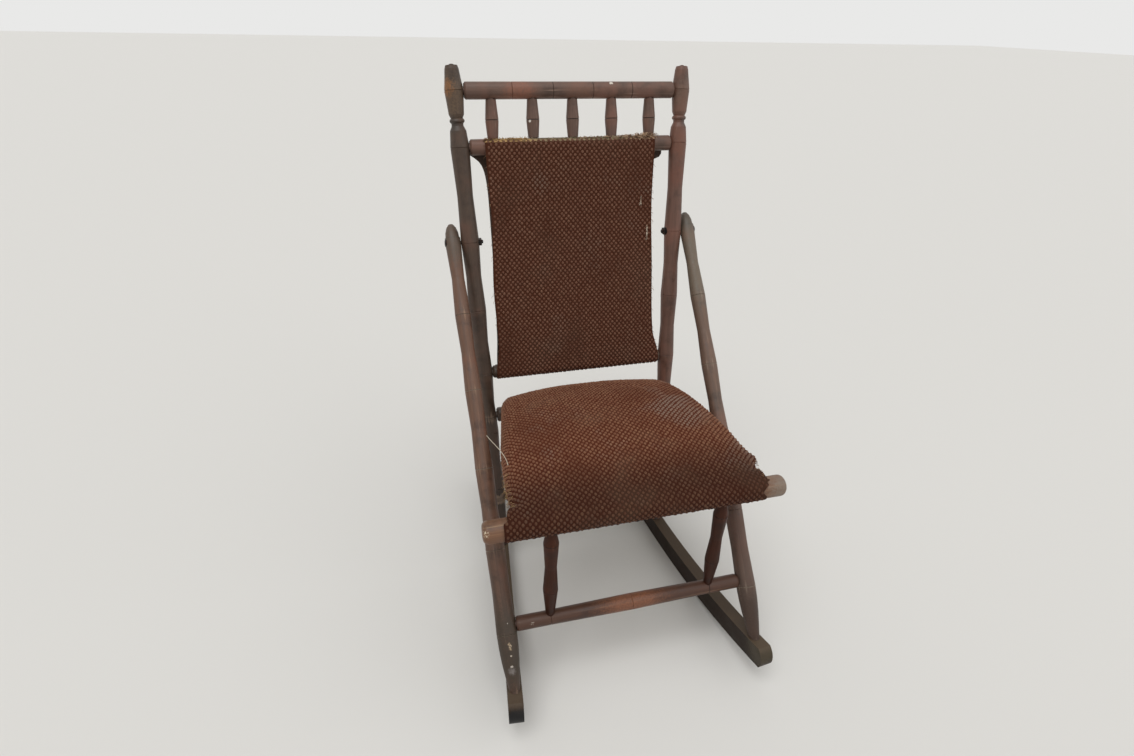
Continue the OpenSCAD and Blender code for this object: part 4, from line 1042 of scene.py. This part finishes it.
# %% The long loose thread
# Spun cotton, bleached, then dusty from years indoors: matt and pale, with lint that dulls it in places
THREAD_R, THREAD_RINGS, THREAD_SIDES = 0.6 * MM, 16, 6
CURVE = np.array([(-210.1, -42, 402.8), (-198.4, -80, 402.5), (-183.6, -108, 404.6),
                  (-187.9, -128, 388.7)]) * MM
pale, tree, shader = material_named("bleached cotton thread")
place = add(tree, "TexCoord").outputs["Object"]
lint = add(tree, "TexNoise", {"Vector": place, "Scale": 1 / (3 * MM), "Detail": 2.0})
colour = add(tree, "Mix", {0: lint, 6: linear("#A79A86"), 7: linear("#CFC6B4")}, data_type="RGBA")
fill(tree, shader, {"Base Color": colour, "Roughness": 0.9})
line = bezier(np.linspace(0, 1, THREAD_RINGS)[:, None], *CURVE)
walls, low_cap, high_cap = ring_faces(1, THREAD_RINGS, THREAD_SIDES)
new_piece("loose_thread", tube(line, [1.0, 0, 0], THREAD_R, THREAD_SIDES), walls + low_cap + high_cap,
          pale, slot="seat_carpet")
print("loose thread", round(float(run_along(line, 0)[-1]) / MM), "mm")

# %% [markdown]
# ## Lining behind the back
# A dark cotton lining hangs behind the carpet. It is nailed wide along the back of the upper rail, so
# that its corners flare out below the rail, and its sides come forward to the carpet's edges. A flare
# that fades with the drop gives the corners their shape at once, where a simulated sheet would have
# to be pulled to it.

# %% Lining
# Plain-woven cotton, glazed with starch under a hot roller: smoother than the carpet, faded in clouds
LINING_T, LINING_YARN = 1.2 * MM, 1.0 * MM
cotton, tree, shader = material_named("glazed cotton lining")
cloth = add(tree, "UVMap", uv_map="cloth")
place = add(tree, "TexCoord").outputs["Object"]
threads = add(tree, "TexMagic", {"Vector": cloth, "Scale": magic_scale(LINING_YARN), "Distortion": 0.3},
              turbulence_depth=1).outputs["Fac"]
faded = add(tree, "TexNoise", {"Vector": place, "Scale": 1 / (60 * MM), "Detail": 4.0})
colour = add(tree, "Mix", {0: faded, 6: linear("#2E201A"), 7: linear("#5C463A")}, data_type="RGBA")
weave = add(tree, "Bump", {"Height": threads, "Strength": 0.4, "Distance": 0.3 * MM})
fill(tree, shader, {"Base Color": colour, "Roughness": 0.8, "Normal": weave})


def flare(drop, width, level, fade):
    """How far a corner stands out: its width down to a level, then width exp((level - drop) / fade)."""
    return width * np.exp(-np.maximum(drop - level, 0) / fade)


def lining_skin(u, t):
    """A sheet from the back of the upper rail to that of the lower one, flared at the top. Its sides come
    forward by up to 15 mm and its middle sags back by 4 mm."""
    drop = t * back_len
    left = flare(drop, 25 * MM, 13 * MM, 11 * MM) + 1.5 * MM
    right = flare(drop, 27 * MM, 23 * MM, 5 * MM) - 1.5 * MM
    half = BACK_HALF - BACK_WAIST * np.sin(np.pi * np.clip(t, 0, 1))
    x = u * half + np.where(u < 0, u * left, u * (right - BACK_TRIM * (1 - t)))
    plain = facing(np.full_like(u, back_face))
    a = upper_yz[:, None, None] - (upper_r + LINING_T + 0.5 * MM) * plain
    b = lower_yz[:, None, None] - (lower_wrap_r + LINING_T + 1 * MM) * plain
    forward = 15 * MM * np.abs(u) ** 8 * ease((t - 0.06) / 0.15) * ease((0.98 - t) / 0.15)
    sag = 4 * MM * np.sin(np.pi * t) * (1 - u * u)
    y, z = a + (b - a) * t + (forward - sag) * plain
    return np.stack([x, y, z], -1)


LU, LT = np.meshgrid(np.linspace(-1, 1, 61), np.linspace(-0.015, 1.0, 70))
sheet = lining_skin(LU, LT)
across, down = run_along(sheet, 1), run_along(sheet, 0)
lining = new_piece("back_lining", sheet, quads_between(*LU.shape), cotton, np.stack([across, down], -1),
                   "back_carpet")
thicken(lining, LINING_T)

# %% [markdown]
# ## Webbing and stuffing
# Under the seat, three strips of jute webbing run from rail to rail and three cross them, over and
# under. They carry a pad of stuffing in hessian, which shows between them from below. Each strip is a
# grid that rises and falls on a cosine, which weaves them with no collisions to settle.

# %% Jute and hessian
def woven(name, yarn, dark, light):
    """Plain weave of thick jute yarn, coarse enough that each yarn casts its own shade. Its dry fibres
    are matt, and it has darkened unevenly."""
    material, tree, shader = material_named(name)
    cloth = add(tree, "UVMap", uv_map="cloth")
    place = add(tree, "TexCoord").outputs["Object"]
    crossed = add(tree, "TexMagic", {"Vector": cloth, "Scale": magic_scale(yarn), "Distortion": 0.5},
                  turbulence_depth=1).outputs["Fac"]
    aged = add(tree, "TexNoise", {"Vector": place, "Scale": 1 / (35 * MM), "Detail": 4.0})
    shade = add(tree, "Math", {0: crossed, 1: 0.5, 2: aged}, operation="MULTIPLY_ADD")
    shade = add(tree, "MapRange", {0: shade, 1: 0.45, 2: 1.0})
    colour = add(tree, "Mix", {0: shade, 6: linear(dark), 7: linear(light)}, data_type="RGBA")
    bump = add(tree, "Bump", {"Height": crossed, "Strength": 0.8, "Distance": 0.5 * MM})
    fill(tree, shader, {"Base Color": colour, "Roughness": 0.95, "Normal": bump})
    return material


jute = woven("jute webbing", 2.4 * MM, "#6E5A3E", "#B49C72")
hessian = woven("hessian stuffing cover", 1.8 * MM, "#6F5C41", "#A8926B")

# %% Webbing
# The strips' width, their pitch, how far they wave, their height over the rails' axes, and half the
# length of a cross strip at the front and at the rear
WEB_W, WEB_PITCH, WEB_WAVE = 52 * MM, 88 * MM, 0.95 * MM
WEB_MID = front_r + 2 * WEB_T
SIDE_FRONT, SIDE_REAR = 182 * MM, 138 * MM


def strips():
    """Strips that go over and under: a cosine wave that changes sign at each crossing, still at the ends."""
    along, wide = np.meshgrid(np.linspace(0, 1, 49), np.linspace(-0.5, 0.5, 7), indexing="ij")
    still = np.sin(np.pi * along) ** 0.5
    grids, uvs = [], []
    for i in (-1, 0, 1):
        s = along * seat_len
        h = WEB_MID - (1 - still) * WEB_T + WEB_WAVE * (-1) ** i * np.cos(4 * np.pi * along) * still
        grids.append(np.stack([i * WEB_PITCH + wide * WEB_W, s, h], -1))
        uvs.append(np.stack([wide * WEB_W, s], -1))
    for j in (1, 2, 3):
        half = mix(SIDE_FRONT, SIDE_REAR, j / 4)
        x = (2 * along - 1) * half
        h = WEB_MID - WEB_WAVE * (-1) ** j * np.cos(np.pi * x / WEB_PITCH) * still
        grids.append(np.stack([x, j / 4 * seat_len + wide * WEB_W, h], -1))
        uvs.append(np.stack([wide * WEB_W, x], -1))
    quads = quads_between(*along.shape)
    faces = np.concatenate([q + k * along.size for k, q in enumerate([quads[:, ::-1]] * 3 + [quads] * 3)])
    length = 3 * seat_len + 3 * (SIDE_FRONT + SIDE_REAR)
    return to_chair(np.array(grids)), faces, np.array(uvs), WEB_W * length


web_points, web_faces, web_uv, web_area = strips()
webbing = new_piece("seat_web_strips", web_points, web_faces, jute, web_uv, "jute_webbing")
thicken(webbing, WEB_T - CLEAR)
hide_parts("seat_webbing")
print("webbing", round(web_area, 4), "square metres")

# %% Stuffing
# The base's height, the grid's points along a side, and how far the pad reaches in u and v
PAD_BASE, PAD_N = front_r + 5.4 * MM, 49
PAD_HALF, PAD_FRONT, PAD_REAR = 0.8, 1.12, 1.9


def stuffing():
    """A closed pad: the seat's surface a little under the carpet, a base that bellies down between the
    strips, and walls round the rim."""
    u, v = np.meshgrid(np.linspace(-PAD_HALF, PAD_HALF, PAD_N), np.linspace(PAD_FRONT, PAD_REAR, PAD_N))
    top = seat_skin(u, v, CARPET_T + 3 * MM)
    base = top.copy()
    x, s = top[..., 0], top[..., 1]
    middle, reach = (PAD_FRONT + PAD_REAR) / 2, (PAD_REAR - PAD_FRONT) / 2
    rim = np.maximum(np.abs(u) / PAD_HALF, np.abs(v - middle) / reach)
    belly = 1.2 * MM * np.cos(2 * np.pi * x / WEB_PITCH) * np.cos(8 * np.pi * s / seat_len)
    base[..., 2] = PAD_BASE + belly + 3 * MM * rim ** 8
    n, side = u.size, PAD_N
    quads = quads_between(side, side)
    loop = np.concatenate([np.arange(side - 1), np.arange(side - 1, n - 1, side),
                           np.arange(n - 1, n - side, -1), np.arange(n - side, 0, -side)])
    after = np.roll(loop, -1)
    walls = np.stack([loop, loop + n, after + n, after], -1)
    faces = np.concatenate([quads, quads[:, ::-1] + n, walls])
    points = np.concatenate([top.reshape(-1, 3), base.reshape(-1, 3)])
    return to_chair(points), faces, np.tile(top[..., :2].reshape(-1, 2), (2, 1))


pad_points, pad_faces, pad_uv = stuffing()
pad = new_piece("seat_pad", pad_points, pad_faces, hessian, pad_uv, "seat_stuffing")
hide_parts("seat_stuffing")
print("pad from", round(PAD_BASE / MM, 1), "mm over the rails' axes, with", len(pad_faces), "faces")

# %% [markdown]
# ## Tacks
# Small iron tacks hold the edges: the seat's under the front rail and behind the rear rail, the back
# cover's round the lower rail, and the lining's at its top and foot. Each one reuses the loops' dome,
# because a tack's head shows as a low dome at this size.

# %% Tacks
TACK_R, TACK_H, TACK_SIDES, TACK_SUNK = 3.2 * MM, 1.3 * MM, 8, 0.2 * MM


def tack_row(points, outs):
    """Domes at the given points, each flat on its surface."""
    outs = unit(np.asarray(outs, float))
    x = unit(np.cross(outs, np.cross([1.0, 0, 0], outs) + 1e-6))
    sizes = (np.full(len(points), size) for size in (TACK_R, TACK_R, TACK_H))
    return domes(points - TACK_SUNK * outs, x, np.cross(outs, x), outs, *sizes, TACK_SIDES)


def edge_row(grid, row, side, columns):
    """Points on one row of a grid of points, and the way out of the surface there."""
    across = grid[row, columns + 1] - grid[row, columns - 1]
    return grid[row, columns], side * unit(np.cross(across, grid[row + 1, columns] - grid[row - 1, columns]))


rows = [edge_row(cover, 1, 1, np.arange(3, 120, 9)), edge_row(cover, -2, 1, np.arange(6, 116, 9)),
        edge_row(hanging, -2, -1, np.arange(4, 90, 8)), edge_row(sheet, 1, 1, np.arange(2, 60, 6)),
        edge_row(sheet, -2, 1, np.arange(3, 60, 7))]
points, outs = (np.concatenate(parts) for parts in zip(*rows))
new_piece("upholstery_tacks", *tack_row(points, outs), blackened, slot="dark_iron")
print("tacks:", len(points))
